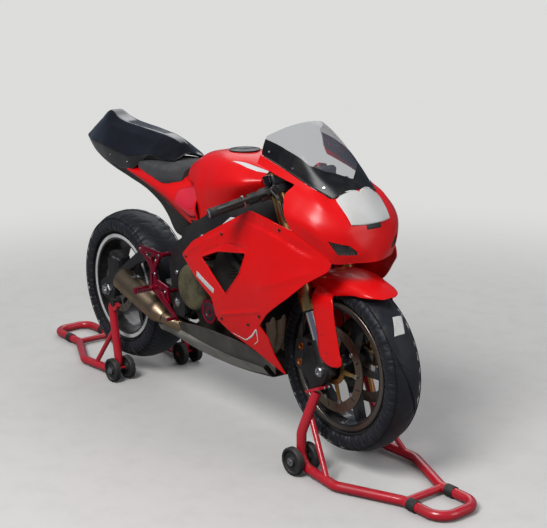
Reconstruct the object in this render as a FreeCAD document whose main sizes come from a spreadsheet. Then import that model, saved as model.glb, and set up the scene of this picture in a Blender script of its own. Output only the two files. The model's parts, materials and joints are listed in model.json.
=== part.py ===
import FreeCAD, Part
import math
import os
import re
from types import SimpleNamespace

import Sketcher

V = FreeCAD.Vector

# A racing motorcycle on a front and a rear paddock stand. X runs forward, Y to the rider's left,
# Z up from the floor. Pieces are drawn from the rear axle's station and set back by rear_axle_x,
# which puts the middle of the whole length at the origin.

# alias, size in mm or degrees, what it measures
SIZES = (
    ("wheelbase", 1400, "rear axle to front axle"),
    ("rear_axle_x", -653.5, "rear axle from the middle of the length"),
    ("rear_axle_z", 372, "rear axle above the floor, lifted"),
    ("front_axle_z", 376, "front axle above the floor, lifted"),
    ("rake_angle", 23.8, "steering axis from the vertical"),
    ("fork_offset", 32, "fork leg line ahead of the steering axis"),
    ("fork_half", 104, "fork leg from the centre plane"),
    ("fit_gap", 0.05, "running gap of a shaft in its bore"),
    ("seat_gap", 0.3, "gap between seated pieces"),
    ("rim_r", 218, "rim outer radius under the tyre bead"),
    ("rim_lip_r", 230, "rim flange radius"),
    ("rim_floor_r", 196, "rim barrel inner radius"),
    ("front_rim_half", 46, "half width of the front rim"),
    ("front_tyre_r", 299, "front tyre radius"),
    ("front_tyre_half", 60, "front tyre half width"),
    ("rear_rim_half", 72, "half width of the rear rim"),
    ("rear_tyre_r", 315, "rear tyre radius"),
    ("rear_tyre_half", 90, "rear tyre half width"),
    ("front_crown", 26, "front tyre crown above its shoulder"),
    ("rear_crown", 44, "rear tyre crown above its shoulder"),
    ("warmer_wall", 6.5, "thickness of a tyre warmer's padded cloth"),
    ("warmer_slack", 0.3, "how far a warmer stands off its tyre"),
    ("arm_inner", 122, "swingarm's arms, inner face from the centre plane"),
    ("arm_outer", 148, "swingarm's arms, outer face from the centre plane"),
    ("carrier_arms", 5, "disc carrier arms"),
    ("disc_slots", 18, "vent slots round a brake disc"),
    ("warmer_hem", 10, "warmer's hem above the rim flange"),
    ("spoke_width", 26, "wheel spoke across"),
    ("spoke_depth", 34, "wheel spoke along the axle"),
    ("spoke_count", 5, "wheel spokes"),
    ("hub_r", 36, "wheel hub radius"),
    ("front_hub_half", 62, "front hub half length"),
    ("rear_hub_half", 78, "rear hub half length"),
    ("front_axle_r", 12.5, "front axle radius"),
    ("rear_axle_r", 14, "rear axle radius"),
    ("disc_r", 155, "front brake disc radius"),
    ("disc_inner_r", 119, "front brake track inner radius"),
    ("disc_y", 75, "front brake disc from the centre plane"),
    ("disc_wall", 5, "brake disc thickness"),
    ("carrier_hub_r", 58, "front disc carrier ring radius"),
    ("rear_disc_r", 110, "rear brake disc radius"),
    ("rear_disc_y", 88, "rear brake disc from the centre plane"),
    ("sprocket_r", 88, "rear sprocket pitch radius"),
    ("front_sprocket_r", 34, "front sprocket pitch radius"),
    ("sprocket_y", 110, "chain line from the centre plane"),
    ("sprocket_wall", 6, "sprocket thickness"),
    ("sprocket_teeth", 43, "rear sprocket teeth"),
    ("drive_teeth", 16, "front sprocket teeth"),
    ("outer_tube_r", 27, "fork outer tube radius"),
    ("inner_tube_r", 20.5, "fork inner tube radius"),
    ("fork_top", 700, "fork top along the leg from the axle"),
    ("outer_foot", 212, "outer tube lower end along the leg"),
    ("inner_foot", 108, "inner tube lower end along the leg"),
    ("leg_foot", -72, "fork bottom end along the leg"),
    ("stem_r", 17, "steering stem radius"),
    ("head_r", 36, "steering head tube radius"),
    ("low_yoke", 470, "lower yoke middle along the leg"),
    ("top_yoke", 672, "top yoke middle along the leg"),
    ("yoke_wall", 30, "yoke thickness"),
    ("clip_on_place", 641, "handlebar clamp along the leg"),
    ("bar_r", 11, "handlebar tube radius"),
    ("grip_r", 17, "grip radius"),
    ("bar_length", 268, "handlebar tube length from its clamp"),
    ("bar_sweep", 24, "handlebar sweep to the rear"),
    ("bar_droop", 6, "handlebar droop"),
    ("pivot_x", 556, "swingarm pivot ahead of the rear axle"),
    ("pivot_z", 440, "swingarm pivot above the floor"),
    ("front_sprocket_x", 645, "output shaft ahead of the rear axle"),
    ("front_sprocket_z", 440, "output shaft above the floor"),
    ("skin", 4, "moulded panel thickness"),
    ("stand_tube_r", 17.5, "stand main tube radius"),
    ("brace_tube_r", 10, "stand brace tube radius"),
    ("stand_bend", 60, "bend radius of a stand's tubes"),
    ("stand_wheel_r", 50, "stand roller radius"),
    ("stand_wheel_wall", 24, "stand roller width"),
    ("stand_wheel_step", 36, "stand roller from its arm's middle"),
    ("stand_axle_r", 6, "stand roller axle radius"),
    ("stand_half", 172, "stand arm from the centre plane"),
    ("foot_wall", 3, "rubber foot thickness"),
    ("rear_wheels_x", 115, "rear stand rollers ahead of the rear axle"),
    ("front_wheels_x", -58, "front stand rollers from the front axle"),
    ("rear_reach", 650, "rear stand loop end behind the rear axle"),
    ("front_reach", 557, "front stand loop end ahead of the front axle"),
    ("spool_x", 85, "lifting spool ahead of the rear axle"),
    ("spool_z", 335, "lifting spool above the floor"),
    ("spool_r", 9, "lifting spool waist radius"),
    ("tank_top", 1050, "tank top above the floor"),
    ("seat_deck", 905, "seat panel's deck above the floor"),
    ("pad_rise", 8, "seat pad's lower edge above the deck"),
    ("screen_wall", 3, "windscreen thickness"),
    ("board_half", 106, "number board half width"),
    ("board_wall", 3, "number board thickness"),
    ("cap_r", 58, "filler cap flange radius"),
    ("chain_half", 8, "drive chain half width"),
    ("chain_out", 14, "chain's outer side off its pitch line"),
    ("chain_in", 5.5, "chain's inner side off its pitch line"),
    ("crown_r", 334, "front mudguard outer radius"),
    ("crown_half", 74, "front mudguard half width over the tyre"),
    ("guard_out", 29.4, "leg guard's outer face from the fork leg line"),
    ("guard_wall", 4.1, "leg guard thickness"),
)

doc = FreeCAD.newDocument("sport_bike")
sheet = doc.addObject("Spreadsheet::Sheet", "Sizes")
for row, (alias, value, meaning) in enumerate(SIZES, 1):
    sheet.set(f"A{row}", meaning)
    sheet.set(f"B{row}", str(value))
    sheet.setAlias(f"B{row}", alias)
doc.recompute()
S = SimpleNamespace(**{alias: float(sheet.get(alias)) for alias, value, meaning in SIZES})

nodes = []
plain = {}


# Helpers for pieces drawn with sketches bound to the sheet.

def bound(text):
    """An expression on the sheet's sizes, as objects of the document read it."""
    return re.sub(r"[a-z_]+", lambda word: "Sizes." + word.group(), text)


def number(text):
    """The value of an expression on the sheet's sizes."""
    return float(sheet.evalExpression(text))


def bind_place(thing, x="0", y="0", z="0"):
    """Bind an object's place, measured from the rear axle's station on the floor."""
    for axis, text in (("x", f"rear_axle_x + {x}"), ("y", y), ("z", z)):
        thing.setExpression(f"Placement.Base.{axis}", bound(text))


def new_body(label, **place):
    """An empty body, at the origin where no place is given and else bound to the sheet."""
    body = doc.addObject("PartDesign::Body", label)
    body.Label = label
    if place:
        bind_place(body, **place)
    return body


def sketch(body, name, plane, corners):
    """A closed sketch; a corner is across, up and, before an arc, its radius and the word hollow
    where the arc curves into the piece."""
    made = body.newObject("Sketcher::SketchObject", name)
    flat = next(face for face in body.Origin.OriginFeatures if face.Role == plane)
    made.AttachmentSupport = [(flat, "")]
    made.MapMode = "FlatFace"
    places = [V(number(corner[0]), number(corner[1]), 0) for corner in corners]
    following = places[1:] + places[:1]
    for corner, start, stop in zip(corners, places, following):
        if len(corner) > 2:
            run = stop - start
            radius = number(corner[2])
            inward = V(-run.y, run.x, 0) / run.Length
            rise = math.sqrt(radius * radius - run.Length ** 2 / 4) - radius
            turn = -1 if "hollow" in corner else 1
            edge = Part.Arc(start, (start + stop) / 2 + inward * rise * turn, stop)
        else:
            edge = Part.LineSegment(start, stop)
        made.addGeometry(edge, False)

    def end_at(index, place):
        return 1 if made.getPoint(index, 1).distanceToPoint(place) < 1e-5 else 2

    for index, stop in enumerate(following):
        after = (index + 1) % len(corners)
        made.addConstraint(Sketcher.Constraint(
            "Coincident", index, end_at(index, stop), after, end_at(after, stop)))
    for index, (corner, place) in enumerate(zip(corners, places)):
        end = end_at(index, place)
        for kind, text, value in (("DistanceX", corner[0], place.x), ("DistanceY", corner[1], place.y)):
            rule = made.addConstraint(Sketcher.Constraint(kind, -1, 1, index, end, value))
            made.setExpression(f"Constraints[{rule}]", bound(text))
        if len(corner) > 2:
            rule = made.addConstraint(Sketcher.Constraint("Radius", index, number(corner[2])))
            made.setExpression(f"Constraints[{rule}]", bound(corner[2]))
    return made


def revolve(body, name, corners):
    """A solid turned about the body's Y axis from a section of y and radius."""
    section = sketch(body, name + "_section", "YZ_Plane", corners)
    turned = body.newObject("PartDesign::Revolution", name)
    turned.Profile = section
    turned.ReferenceAxis = (section, ["H_Axis"])
    turned.Angle = 360
    return turned


def pad(body, name, corners, depth):
    """A plate square to Y, centred on the body's middle plane."""
    section = sketch(body, name + "_section", "XZ_Plane", corners)
    made = body.newObject("PartDesign::Pad", name)
    made.Profile = section
    made.Midplane = True
    made.setExpression("Length", bound(depth))
    return made


def pocket(body, name, corners, depth):
    """A cut square to Y, centred on the body's middle plane."""
    section = sketch(body, name + "_section", "XZ_Plane", corners)
    made = body.newObject("PartDesign::Pocket", name)
    made.Profile = section
    made.Midplane = True
    made.setExpression("Length", bound(depth))
    return made


def around(body, feature, count):
    """Repeat a feature about the body's Y axis."""
    ring = body.newObject("PartDesign::PolarPattern", feature.Name + "_ring")
    ring.Originals = [feature]
    axis = next(line for line in body.Origin.OriginFeatures if line.Role == "Y_Axis")
    ring.Axis = (axis, [""])
    ring.Angle = 360
    ring.setExpression("Occurrences", bound(count))
    body.Tip = ring
    return ring


# Helpers for pieces whose form no sketch feature fits.

def node(label, shapes, *seats):
    """A sub-part given by solids drawn from the rear axle's station, cut back to the nodes it seats on."""
    made = doc.addObject("Part::Feature", label)
    made.Label = label
    for seat in seats:
        shapes = [shape.cut(plain[seat]) for shape in shapes]
    plain[label] = Part.makeCompound(shapes)
    solids = [solid for shape in shapes for solid in shape.Solids]
    made.Shape = solids[0] if len(solids) == 1 else Part.makeCompound(solids)
    made.Placement = FreeCAD.Placement(V(S.rear_axle_x, 0, 0), FreeCAD.Rotation()) * made.Placement
    nodes.append(made)


def unit(vector):
    """The vector's direction, of length one."""
    return vector / vector.Length


def bent(points, bend, closed=False):
    """Straight runs through the points, joined by tangent arcs of the bend radius."""
    count = len(points)
    corners = range(count) if closed else range(1, count - 1)
    edges = []
    start = None if closed else points[0]
    first = None
    for index in corners:
        corner = points[index]
        back = points[index - 1] - corner
        ahead = points[(index + 1) % count] - corner
        half = back.getAngle(ahead) / 2
        reach = min(bend / math.tan(half), 0.45 * min(back.Length, ahead.Length))
        radius = reach * math.tan(half)
        enter = corner + unit(back) * reach
        leave = corner + unit(ahead) * reach
        middle = corner + unit(unit(back) + unit(ahead)) * (radius / math.sin(half) - radius)
        if start is None:
            first = enter
        else:
            edges.append(Part.LineSegment(start, enter).toShape())
        edges.append(Part.Arc(enter, middle, leave).toShape())
        start = leave
    edges.append(Part.LineSegment(start, first if closed else points[-1]).toShape())
    return Part.Wire(edges)


def tube(points, radius, bend):
    """A round bar bent along the points."""
    path = bent(points, bend)
    ring = Part.Wire([Part.makeCircle(radius, points[0], points[1] - points[0])])
    return path.makePipeShell([ring], True, False)


def side_wire(points, corner=0.0):
    """A closed outline in the centre plane from pairs of x and z."""
    places = [V(x, 0, z) for x, z in points]
    return bent(places, corner, True) if corner else Part.makePolygon(places + places[:1])


def plate(points, y_low, y_high, corner=0.0):
    """A flat piece with a side outline, from one y to another."""
    face = Part.Face(side_wire(points, corner))
    face.translate(V(0, y_low, 0))
    return face.extrude(V(0, y_high - y_low, 0))


def bar(start, stop, radius):
    """A straight round bar between two points."""
    return Part.makeCylinder(radius, (stop - start).Length, start, stop - start)


def cross_bar(x, z, y_low, y_high, radius):
    """A round bar along Y."""
    return Part.makeCylinder(radius, y_high - y_low, V(x, y_low, z), V(0, 1, 0))


def block(low, high):
    """A box between two corners."""
    size = high - low
    return Part.makeBox(size.x, size.y, size.z, low)


def ring_section(x, rows, shrink=0.0):
    """A symmetric closed section at a station from rows of half width and height."""
    right = [V(x, -(half - shrink), z) for half, z in rows]
    left = [V(x, half - shrink, z) for half, z in reversed(rows)]
    places = right + left
    return Part.makePolygon(places + places[:1])


def hull(stations, shrink=0.0):
    """A ruled solid through symmetric sections, each an x and its rows."""
    return Part.makeLoft([ring_section(x, rows, shrink) for x, rows in stations], True, True)


def both_sides(shape):
    """A right hand piece and its mirror image."""
    return [shape, shape.mirror(V(0, 0, 0), V(0, 1, 0))]


def fused(shapes):
    """One solid from touching shapes."""
    return shapes[0].multiFuse(shapes[1:]).removeSplitter()


# The steering head's own directions, square to and along the fork legs.

RAKE = math.radians(S.rake_angle)
LEG_UP = V(-math.sin(RAKE), 0, math.cos(RAKE))
LEG_FORWARD = V(math.cos(RAKE), 0, math.sin(RAKE))
FRONT_AXLE = V(S.wheelbase, 0, S.front_axle_z)
REAR_AXLE = V(0, 0, S.rear_axle_z)


def leg(along, forward=0.0, side=0.0):
    """A point along the fork legs, ahead of their line and off the centre plane."""
    return FRONT_AXLE + LEG_UP * along + LEG_FORWARD * forward + V(0, side, 0)


def leg_plate(points, low, high, corner=0.0):
    """A plate square to the legs from pairs of forward and side, between two stations."""
    places = [leg(low, forward, side) for forward, side in points]
    wire = bent(places, corner, True) if corner else Part.makePolygon(places + places[:1])
    return Part.Face(wire).extrude(LEG_UP * (high - low))


# Wheels, tyres and warmers

def around_tyre(half, radius, crown, off):
    """The corners of a tyre's outside, or of cloth that stands off it, from left to right."""
    edge = f"({half} - 4 + {off})"
    return [
        (f"{half} + {off}", f"{radius} - {crown} - 14"),
        (edge, f"{radius} - {crown} + {off}", f"({edge} ^ 2 + {crown} ^ 2) / (2 * {crown})"),
        (f"-{edge}", f"{radius} - {crown} + {off}"),
        (f"-{half} - {off}", f"{radius} - {crown} - 14")]


# name, place, rim half, tyre half, tyre radius, crown, hub half, axle radius, hub flange faces
WHEELS = (
    ("front", dict(x="wheelbase", z="front_axle_z"), "front_rim_half", "front_tyre_half",
     "front_tyre_r", "front_crown", "front_hub_half", "front_axle_r",
     (("-", "disc_y - disc_wall / 2 - seat_gap"), ("", "disc_y - disc_wall / 2 - seat_gap"))),
    ("rear", dict(z="rear_axle_z"), "rear_rim_half", "rear_tyre_half",
     "rear_tyre_r", "rear_crown", "rear_hub_half", "rear_axle_r",
     (("-", "rear_disc_y - disc_wall / 2 - seat_gap"), ("", "sprocket_y - sprocket_wall / 2 - seat_gap"))),
)
for name, place, rim_half, tyre_half, tyre_r, crown, hub_half, axle_r, flanges in WHEELS:
    rim = new_body(f"{name}_rim", **place)
    revolve(rim, f"{name}_barrel", [
        (f"-{rim_half} - 6", "rim_r"), (f"-{rim_half} - 4", "rim_floor_r + 8"),
        ("-16", "rim_floor_r"), ("16", "rim_floor_r"),
        (f"{rim_half} + 4", "rim_floor_r + 8"), (f"{rim_half} + 6", "rim_r"),
        (f"{rim_half} + 6", "rim_lip_r"), (rim_half, "rim_lip_r"), (rim_half, "rim_r"),
        ("14", "rim_floor_r + 6"), ("-14", "rim_floor_r + 6"),
        (f"-{rim_half}", "rim_r"), (f"-{rim_half}", "rim_lip_r"), (f"-{rim_half} - 6", "rim_lip_r")])
    revolve(rim, f"{name}_hub", [
        (f"-{hub_half}", f"{axle_r} + fit_gap"), (hub_half, f"{axle_r} + fit_gap"),
        (hub_half, "hub_r - 8"), ("20", "hub_r"), ("-20", "hub_r"), (f"-{hub_half}", "hub_r - 8")])
    for side, seat in flanges:
        inner, outer = sorted((f"{side}({hub_half} - 6)", f"{side}({seat})"), key=number)
        revolve(rim, f"{name}_flange_{'right' if side else 'left'}", [
            (inner, f"{axle_r} + 8"), (outer, f"{axle_r} + 8"), (outer, "hub_r + 14"), (inner, "hub_r + 14")])
    spoke = pad(rim, f"{name}_spoke", [
        ("hub_r - 4", "-spoke_width * 0.75"), ("rim_floor_r + 3", "-spoke_width * 0.4"),
        ("rim_floor_r + 3", "spoke_width * 0.4"), ("hub_r - 4", "spoke_width * 0.75")], "spoke_depth")
    around(rim, spoke, "spoke_count")
    nodes.append(rim)

    tyre = new_body(f"{name}_tyre", **place)
    revolve(tyre, f"{name}_carcass", [
        (f"-{rim_half} + seat_gap", "rim_r + seat_gap"), (f"{rim_half} - seat_gap", "rim_r + seat_gap"),
        (f"{rim_half} - seat_gap", "rim_lip_r + 2"), *around_tyre(tyre_half, tyre_r, crown, "0"),
        (f"-{rim_half} + seat_gap", "rim_lip_r + 2")])
    nodes.append(tyre)

    warmer = new_body(f"{name}_warmer", **place)
    outside = around_tyre(tyre_half, tyre_r, crown, "(warmer_slack + warmer_wall)")
    inside = around_tyre(tyre_half, tyre_r, crown, "warmer_slack")
    inside_back = [inside[3], (*inside[2], inside[1][2], "hollow"), inside[1][:2], inside[0]]
    hem = "rim_lip_r + warmer_hem"
    revolve(warmer, f"{name}_cloth", [
        (f"{tyre_half} - 5 + warmer_slack + warmer_wall", hem), *outside,
        (f"-{tyre_half} + 5 - warmer_slack - warmer_wall", hem),
        (f"-{tyre_half} + 5 - warmer_slack", hem), *inside_back,
        (f"{tyre_half} - 5 + warmer_slack", hem)])
    nodes.append(warmer)


# Axles and brake discs

# label, place, half length, radius
AXLES = (
    ("front_axle", dict(x="wheelbase", z="front_axle_z"), "fork_half + 26", "front_axle_r"),
    ("rear_axle", dict(z="rear_axle_z"), "arm_outer + 8", "rear_axle_r"),
)
for label, place, half, radius in AXLES:
    axle = new_body(label, **place)
    revolve(axle, f"{label}_shaft", [
        (f"-({half}) - 8", "6"), (f"{half} + 8", "6"), (f"{half} + 8", f"{radius} + 6"),
        (half, f"{radius} + 6"), (half, radius), (f"-({half})", radius),
        (f"-({half})", f"{radius} + 6"), (f"-({half}) - 8", f"{radius} + 6")])
    nodes.append(axle)


def brake_disc(name, radius, inner, hub, bore):
    """A drilled brake track on its spoked carrier, centred on its own plane."""
    disc = new_body(name)
    revolve(disc, f"{name}_track", [
        ("-disc_wall / 2", inner), ("disc_wall / 2", inner), ("disc_wall / 2", radius),
        ("-disc_wall / 2", radius)])
    revolve(disc, f"{name}_ring", [
        ("-disc_wall / 2", bore), ("disc_wall / 2", bore), ("disc_wall / 2", hub), ("-disc_wall / 2", hub)])
    arm = pad(disc, f"{name}_arm", [
        (f"{hub} - 3", "-9"), (f"{inner} + 4", "-5"), (f"{inner} + 4", "5"), (f"{hub} - 3", "9")], "disc_wall")
    around(disc, arm, "carrier_arms")
    hole = f"({radius} + {inner}) / 2"
    slot = pocket(disc, f"{name}_slot", [
        (f"{hole} - 9", "-2"), (f"{hole} + 9", "4"), (f"{hole} + 9", "8"), (f"{hole} - 9", "2")], "disc_wall * 2")
    around(disc, slot, "disc_slots")
    return disc


def copies(label, source, offsets, **place):
    """A sub-part of like solids, each at its own distance along one axle."""
    made = doc.addObject("Part::Compound", label)
    links = []
    for index, offset in enumerate(offsets):
        copy = doc.addObject("Part::Compound", f"{label}_{index}")
        copy.Links = [source]
        copy.setExpression("Placement.Base.y", bound(offset))
        links.append(copy)
    made.Links = links
    bind_place(made, **place)
    nodes.append(made)


front_disc = brake_disc("front_disc_plan", "disc_r", "disc_inner_r", "carrier_hub_r", "hub_r + 4")
rear_disc = brake_disc("rear_disc_plan", "rear_disc_r", "rear_disc_r - 32", "carrier_hub_r", "hub_r + 4")
copies("front_discs", front_disc, ("-disc_y", "disc_y"), x="wheelbase", z="front_axle_z")
copies("rear_disc", rear_disc, ("-rear_disc_y",), z="rear_axle_z")

cog = new_body("rear_sprocket", y="sprocket_y", z="rear_axle_z")
revolve(cog, "sprocket_web", [
    ("-sprocket_wall / 2", "hub_r + 4"), ("sprocket_wall / 2", "hub_r + 4"),
    ("sprocket_wall / 2", "sprocket_r - 4"), ("-sprocket_wall / 2", "sprocket_r - 4")])
tooth = pad(cog, "sprocket_tooth", [
    ("sprocket_r - 6", "-3.6"), ("sprocket_r + 4", "-1.2"), ("sprocket_r + 4", "1.2"),
    ("sprocket_r - 6", "3.6")], "sprocket_wall")
around(cog, tooth, "sprocket_teeth")
nodes.append(cog)

drive_cog = new_body("drive_sprocket", x="front_sprocket_x", y="sprocket_y", z="front_sprocket_z")
revolve(drive_cog, "drive_web", [
    ("-12 + seat_gap", "0"), ("sprocket_wall / 2 + 4", "0"), ("sprocket_wall / 2 + 4", "16"),
    ("sprocket_wall / 2", "16"), ("sprocket_wall / 2", "front_sprocket_r - 4"),
    ("-sprocket_wall / 2", "front_sprocket_r - 4"), ("-sprocket_wall / 2", "16"), ("-12 + seat_gap", "16")])
tooth = pad(drive_cog, "drive_tooth", [
    ("front_sprocket_r - 6", "-4"), ("front_sprocket_r + 5.2", "-1.4"), ("front_sprocket_r + 5.2", "1.4"),
    ("front_sprocket_r - 6", "4")], "sprocket_wall")
around(drive_cog, tooth, "drive_teeth")
nodes.append(drive_cog)

# Stand rollers: each arm has one inside and one outside it

# label, place along, distance ahead of its axle, side
ROLLERS = (
    ("rear_stand_rollers_right", "rear_wheels_x", "-stand_half"),
    ("rear_stand_rollers_left", "rear_wheels_x", "stand_half"),
    ("front_stand_rollers_right", "wheelbase + front_wheels_x", "-stand_half"),
    ("front_stand_rollers_left", "wheelbase + front_wheels_x", "stand_half"),
)
roller = new_body("roller_plan")
revolve(roller, "roller_disc", [
    ("-stand_wheel_wall / 2", "stand_axle_r + fit_gap"), ("stand_wheel_wall / 2", "stand_axle_r + fit_gap"),
    ("stand_wheel_wall / 2", "16"), ("4", "18"), ("4", "stand_wheel_r - 12"),
    ("stand_wheel_wall / 2", "stand_wheel_r - 10"), ("stand_wheel_wall / 2", "stand_wheel_r - 2"),
    ("stand_wheel_wall / 2 - 3", "stand_wheel_r"), ("-stand_wheel_wall / 2 + 3", "stand_wheel_r"),
    ("-stand_wheel_wall / 2", "stand_wheel_r - 2"), ("-stand_wheel_wall / 2", "stand_wheel_r - 10"),
    ("-4", "stand_wheel_r - 12"), ("-4", "18"), ("-stand_wheel_wall / 2", "16")])
for label, x, side in ROLLERS:
    copies(label, roller, ("-stand_wheel_step", "stand_wheel_step"), x=x, y=side, z="stand_wheel_r")


# Frame, swingarm and engine

def beam(sections):
    """A box beam; a section is x, its inner and outer y, and its low and high z."""
    wires = [Part.makePolygon([V(x, y1, z1), V(x, y2, z1), V(x, y2, z2), V(x, y1, z2), V(x, y1, z1)])
             for x, y1, y2, z1, z2 in sections]
    return Part.makeLoft(wires, True, True)


head_low = S.low_yoke + S.yoke_wall / 2 + S.seat_gap
head_high = S.top_yoke - S.yoke_wall / 2 - S.seat_gap
head_foot = leg(head_low, -S.fork_offset)
head_tip = leg(head_high, -S.fork_offset)
SPAR = ((628, -132, -172, 648, 742), (840, -132, -172, 748, 850), (1000, -90, -131, 806, 901),
        (1118, -16, -54, 842, 918))
spar = beam(SPAR)
pivot_side = plate([(500, 600), (505, 650), (600, 705), (690, 745), (700, 690), (640, 620), (604, 540),
                    (604, 400), (592, 384), (536, 384), (522, 400), (518, 470)], -152, -122, 12)
rail = tube([V(700, -148, 760), V(590, -110, 812), V(300, -88, 878), V(120, -72, 893), V(-230, -34, 980)],
            11, 120)
half_frame = [spar, pivot_side, rail]
frame = half_frame + [piece.mirror(V(0, 0, 0), V(0, 1, 0)) for piece in half_frame]
frame += [bar(head_foot, head_tip, S.head_r), cross_bar(640, 690, -150, 150, 16),
          cross_bar(S.pivot_x, S.pivot_z, -150, 150, 10 - S.seat_gap)]
stem_bore = bar(head_foot - LEG_UP * 10, head_tip + LEG_UP * 10, S.stem_r + S.fit_gap)
node("main_frame", [fused(frame).cut(stem_bore)])

ARM_TOP = ((-54, 346), (-58, 398), (-10, 424), (60, 452), (250, 578), (335, 612), (380, 600), (424, 500))
ARM_FOOT = ((440, 470), (430, 448), (385, 448), (372, 500), (325, 560), (252, 532), (110, 440), (62, 384),
            (50, 338), (-20, 332))
right_arm = plate(ARM_TOP + ARM_FOOT, -S.arm_outer, -S.arm_inner, 10)
left_arm = plate(ARM_TOP + ((440, 440), (428, 398), (330, 388), (60, 338), (-20, 332)),
                 S.arm_inner, S.arm_outer, 10)
window = plate([(110, 424), (252, 530), (322, 562), (360, 500), (372, 440), (140, 398)],
               S.arm_inner - 2, S.arm_outer + 2, 10)
axle_bore = cross_bar(0, S.rear_axle_z, -200, 200, S.rear_axle_r)
arms = [right_arm.cut(axle_bore), left_arm.cut(window).cut(axle_bore)]
chain_side = 98
swing = arms + [
    beam([(400, -60, -126, 400, 490), (S.pivot_x, -60, -118, S.pivot_z - 28, S.pivot_z + 28)]),
    beam([(400, 60, chain_side, 400, 490), (S.pivot_x, 60, chain_side, S.pivot_z - 28, S.pivot_z + 28)]),
    block(V(372, -S.arm_inner - 4, 410), V(424, chain_side, 482)),
    block(V(385, 90, 400), V(436, S.arm_outer, 446)),
    cross_bar(S.pivot_x, S.pivot_z, -S.arm_inner + S.seat_gap, chain_side, 30),
    cross_bar(S.pivot_x, S.pivot_z, chain_side, S.arm_inner - S.seat_gap, 15)]
spool = [cross_bar(S.spool_x, S.spool_z, -178, -140, S.spool_r),
         cross_bar(S.spool_x, S.spool_z, -180, -175, S.spool_r + 7),
         cross_bar(S.spool_x, S.spool_z + 6, -152, -144, S.spool_r + 9)]
swing += [half for piece in spool for half in both_sides(piece)]
node("swingarm", [fused(swing).cut(cross_bar(S.pivot_x, S.pivot_z, -200, 200, 10))])

crankcase = plate([(612, 480), (622, 590), (700, 625), (800, 600), (925, 560), (950, 480), (930, 350),
                   (850, 312), (680, 312), (640, 400), (614, 420)], -120, 120, 14)
cylinders = plate([(780, 590), (862, 745), (985, 800), (1040, 700), (1000, 600), (925, 520)], -150, 150, 12)
sprocket_room = fused([cross_bar(S.front_sprocket_x, S.front_sprocket_z, chain_side, 130, 58),
                       block(V(580, chain_side, 382), V(S.front_sprocket_x, 130, 498))])
node("engine_block", [fused([crankcase, cylinders]).cut(sprocket_room)])
covers = []
# x, z, radius, inner y, outer y, edge rounding of each cover; the right side is negative
for x, z, radius, inner, outer, edge in (
        (690, 530, 90, -120, -186, 22), (808, 462, 44, -120, -176, 12),
        (808, 462, 74, 120, 182, 20), (655, 440, 64, 120, 134, 6)):
    low, high = min(inner, outer), max(inner, outer)
    cover = cross_bar(x, z, low, high, radius)
    rim = min(cover.Edges, key=lambda line: abs(line.BoundBox.Center.y - outer) + 1e3 * (len(line.Vertexes) - 1))
    covers.append(cover.makeFillet(edge, [rim]))
node("engine_covers", covers, "main_frame")

caliper_slot = cross_bar(0, S.rear_axle_z, -S.rear_disc_y - 5, -S.rear_disc_y + 5, S.rear_disc_r + 5)
rear_body = plate([(-34, 462), (-34, 520), (-10, 534), (40, 530), (62, 512), (60, 452)],
                  -S.rear_disc_y - 24, -S.rear_disc_y + 20, 8).cut(caliper_slot)
rear_lug = plate([(-34, 404), (-34, 500), (56, 500), (56, 436), (10, 404)], -S.arm_inner + S.seat_gap, -108)
node("rear_caliper", [fused([rear_body, rear_lug])])

# Exhaust and cooling

core = plate([(1056, 476), (1080, 470), (1142, 712), (1118, 718)], -168, 168)
core_stays = both_sides(bar(V(1128, -60, 708), V(1086, -58, 842), 6))
node("radiator", [fused([core] + core_stays)], "main_frame")
headers = [tube([V(1018, y, 640), V(1046, y, 606), V(1024, y, 470), V(985, y * 0.6, 330),
                 V(890, y * 0.3, 280)], 19, 60) for y in (-112, -38, 38, 112)]
link_path = [V(905, 0, 280), V(720, 0, 278), V(600, -60, 300), V(500, -152, 348), V(470, -158, 356)]
link = tube(link_path, 27, 90)
node("exhaust_header", [fused(headers + [link])], "engine_block")
silencer_sections = [
    Part.Wire([Part.makeCircle(radius, V(x, y, z), V(1, 0.1, -0.35))])
    for x, y, z, radius in ((469, -160, 357, 27), (430, -164, 372, 44), (330, -168, 412, 50), (168, -172, 458, 46))]
node("silencer", [Part.makeLoft(silencer_sections, True, True)], "exhaust_header", "swingarm")

# Bodywork: shells through a few ruled sections, an x and its rows of half width and height

BELLY = (
    (345, ((60, 246), (104, 268), (116, 298))),
    (600, ((88, 236), (142, 300), (152, 362))),
    (900, ((92, 238), (164, 318), (182, 392))),
    (1100, ((84, 252), (140, 322), (170, 380))),
    (1214, ((70, 294), (104, 326), (130, 352))),
)


def past(end, before, wall, reach=10):
    """The inner side of a wall, carried on past its end in the wall's own direction."""
    run = math.hypot(end[0] - before[0], end[1] - before[1])
    return (end[0] - wall + (end[0] - before[0]) * reach / run, end[1] + (end[1] - before[1]) * reach / run)


def trough(stations, wall):
    """An open topped shell with a floor."""
    inside = [(x, [(half - wall, z + wall) for half, z in rows[:-1]] + [past(rows[-1], rows[-2], wall)])
              for x, rows in stations]
    return hull(stations).cut(hull(inside))


wheel_room = Part.Face(Part.makePolygon([V(x, y, 150) for x, y in (
    (1076, -110), (1076, 110), (1092, 206), (1120, 206), (1330, 104), (1330, -104), (1120, -206),
    (1092, -206), (1076, -110))])).extrude(V(0, 0, 300))
pipe_room = tube(link_path[2:] + [V(330, -168, 412)], 62, 90)
pan = trough(BELLY, S.skin).cut(wheel_room).cut(pipe_room)
node("belly_pan", [fused([pan] + both_sides(cross_bar(880, 342, -168, -120, 9)))],
     "main_frame", "swingarm", "engine_block")


def over_spar(x):
    """The height at which a piece seats on the frame spar's top at a station."""
    for (x1, _, _, _, z1), (x2, _, _, _, z2) in zip(SPAR, SPAR[1:]):
        if x1 <= x <= x2:
            return z1 + (z2 - z1) * (x - x1) / (x2 - x1) + S.seat_gap
    return SPAR[-1][-1] + S.seat_gap


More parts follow.
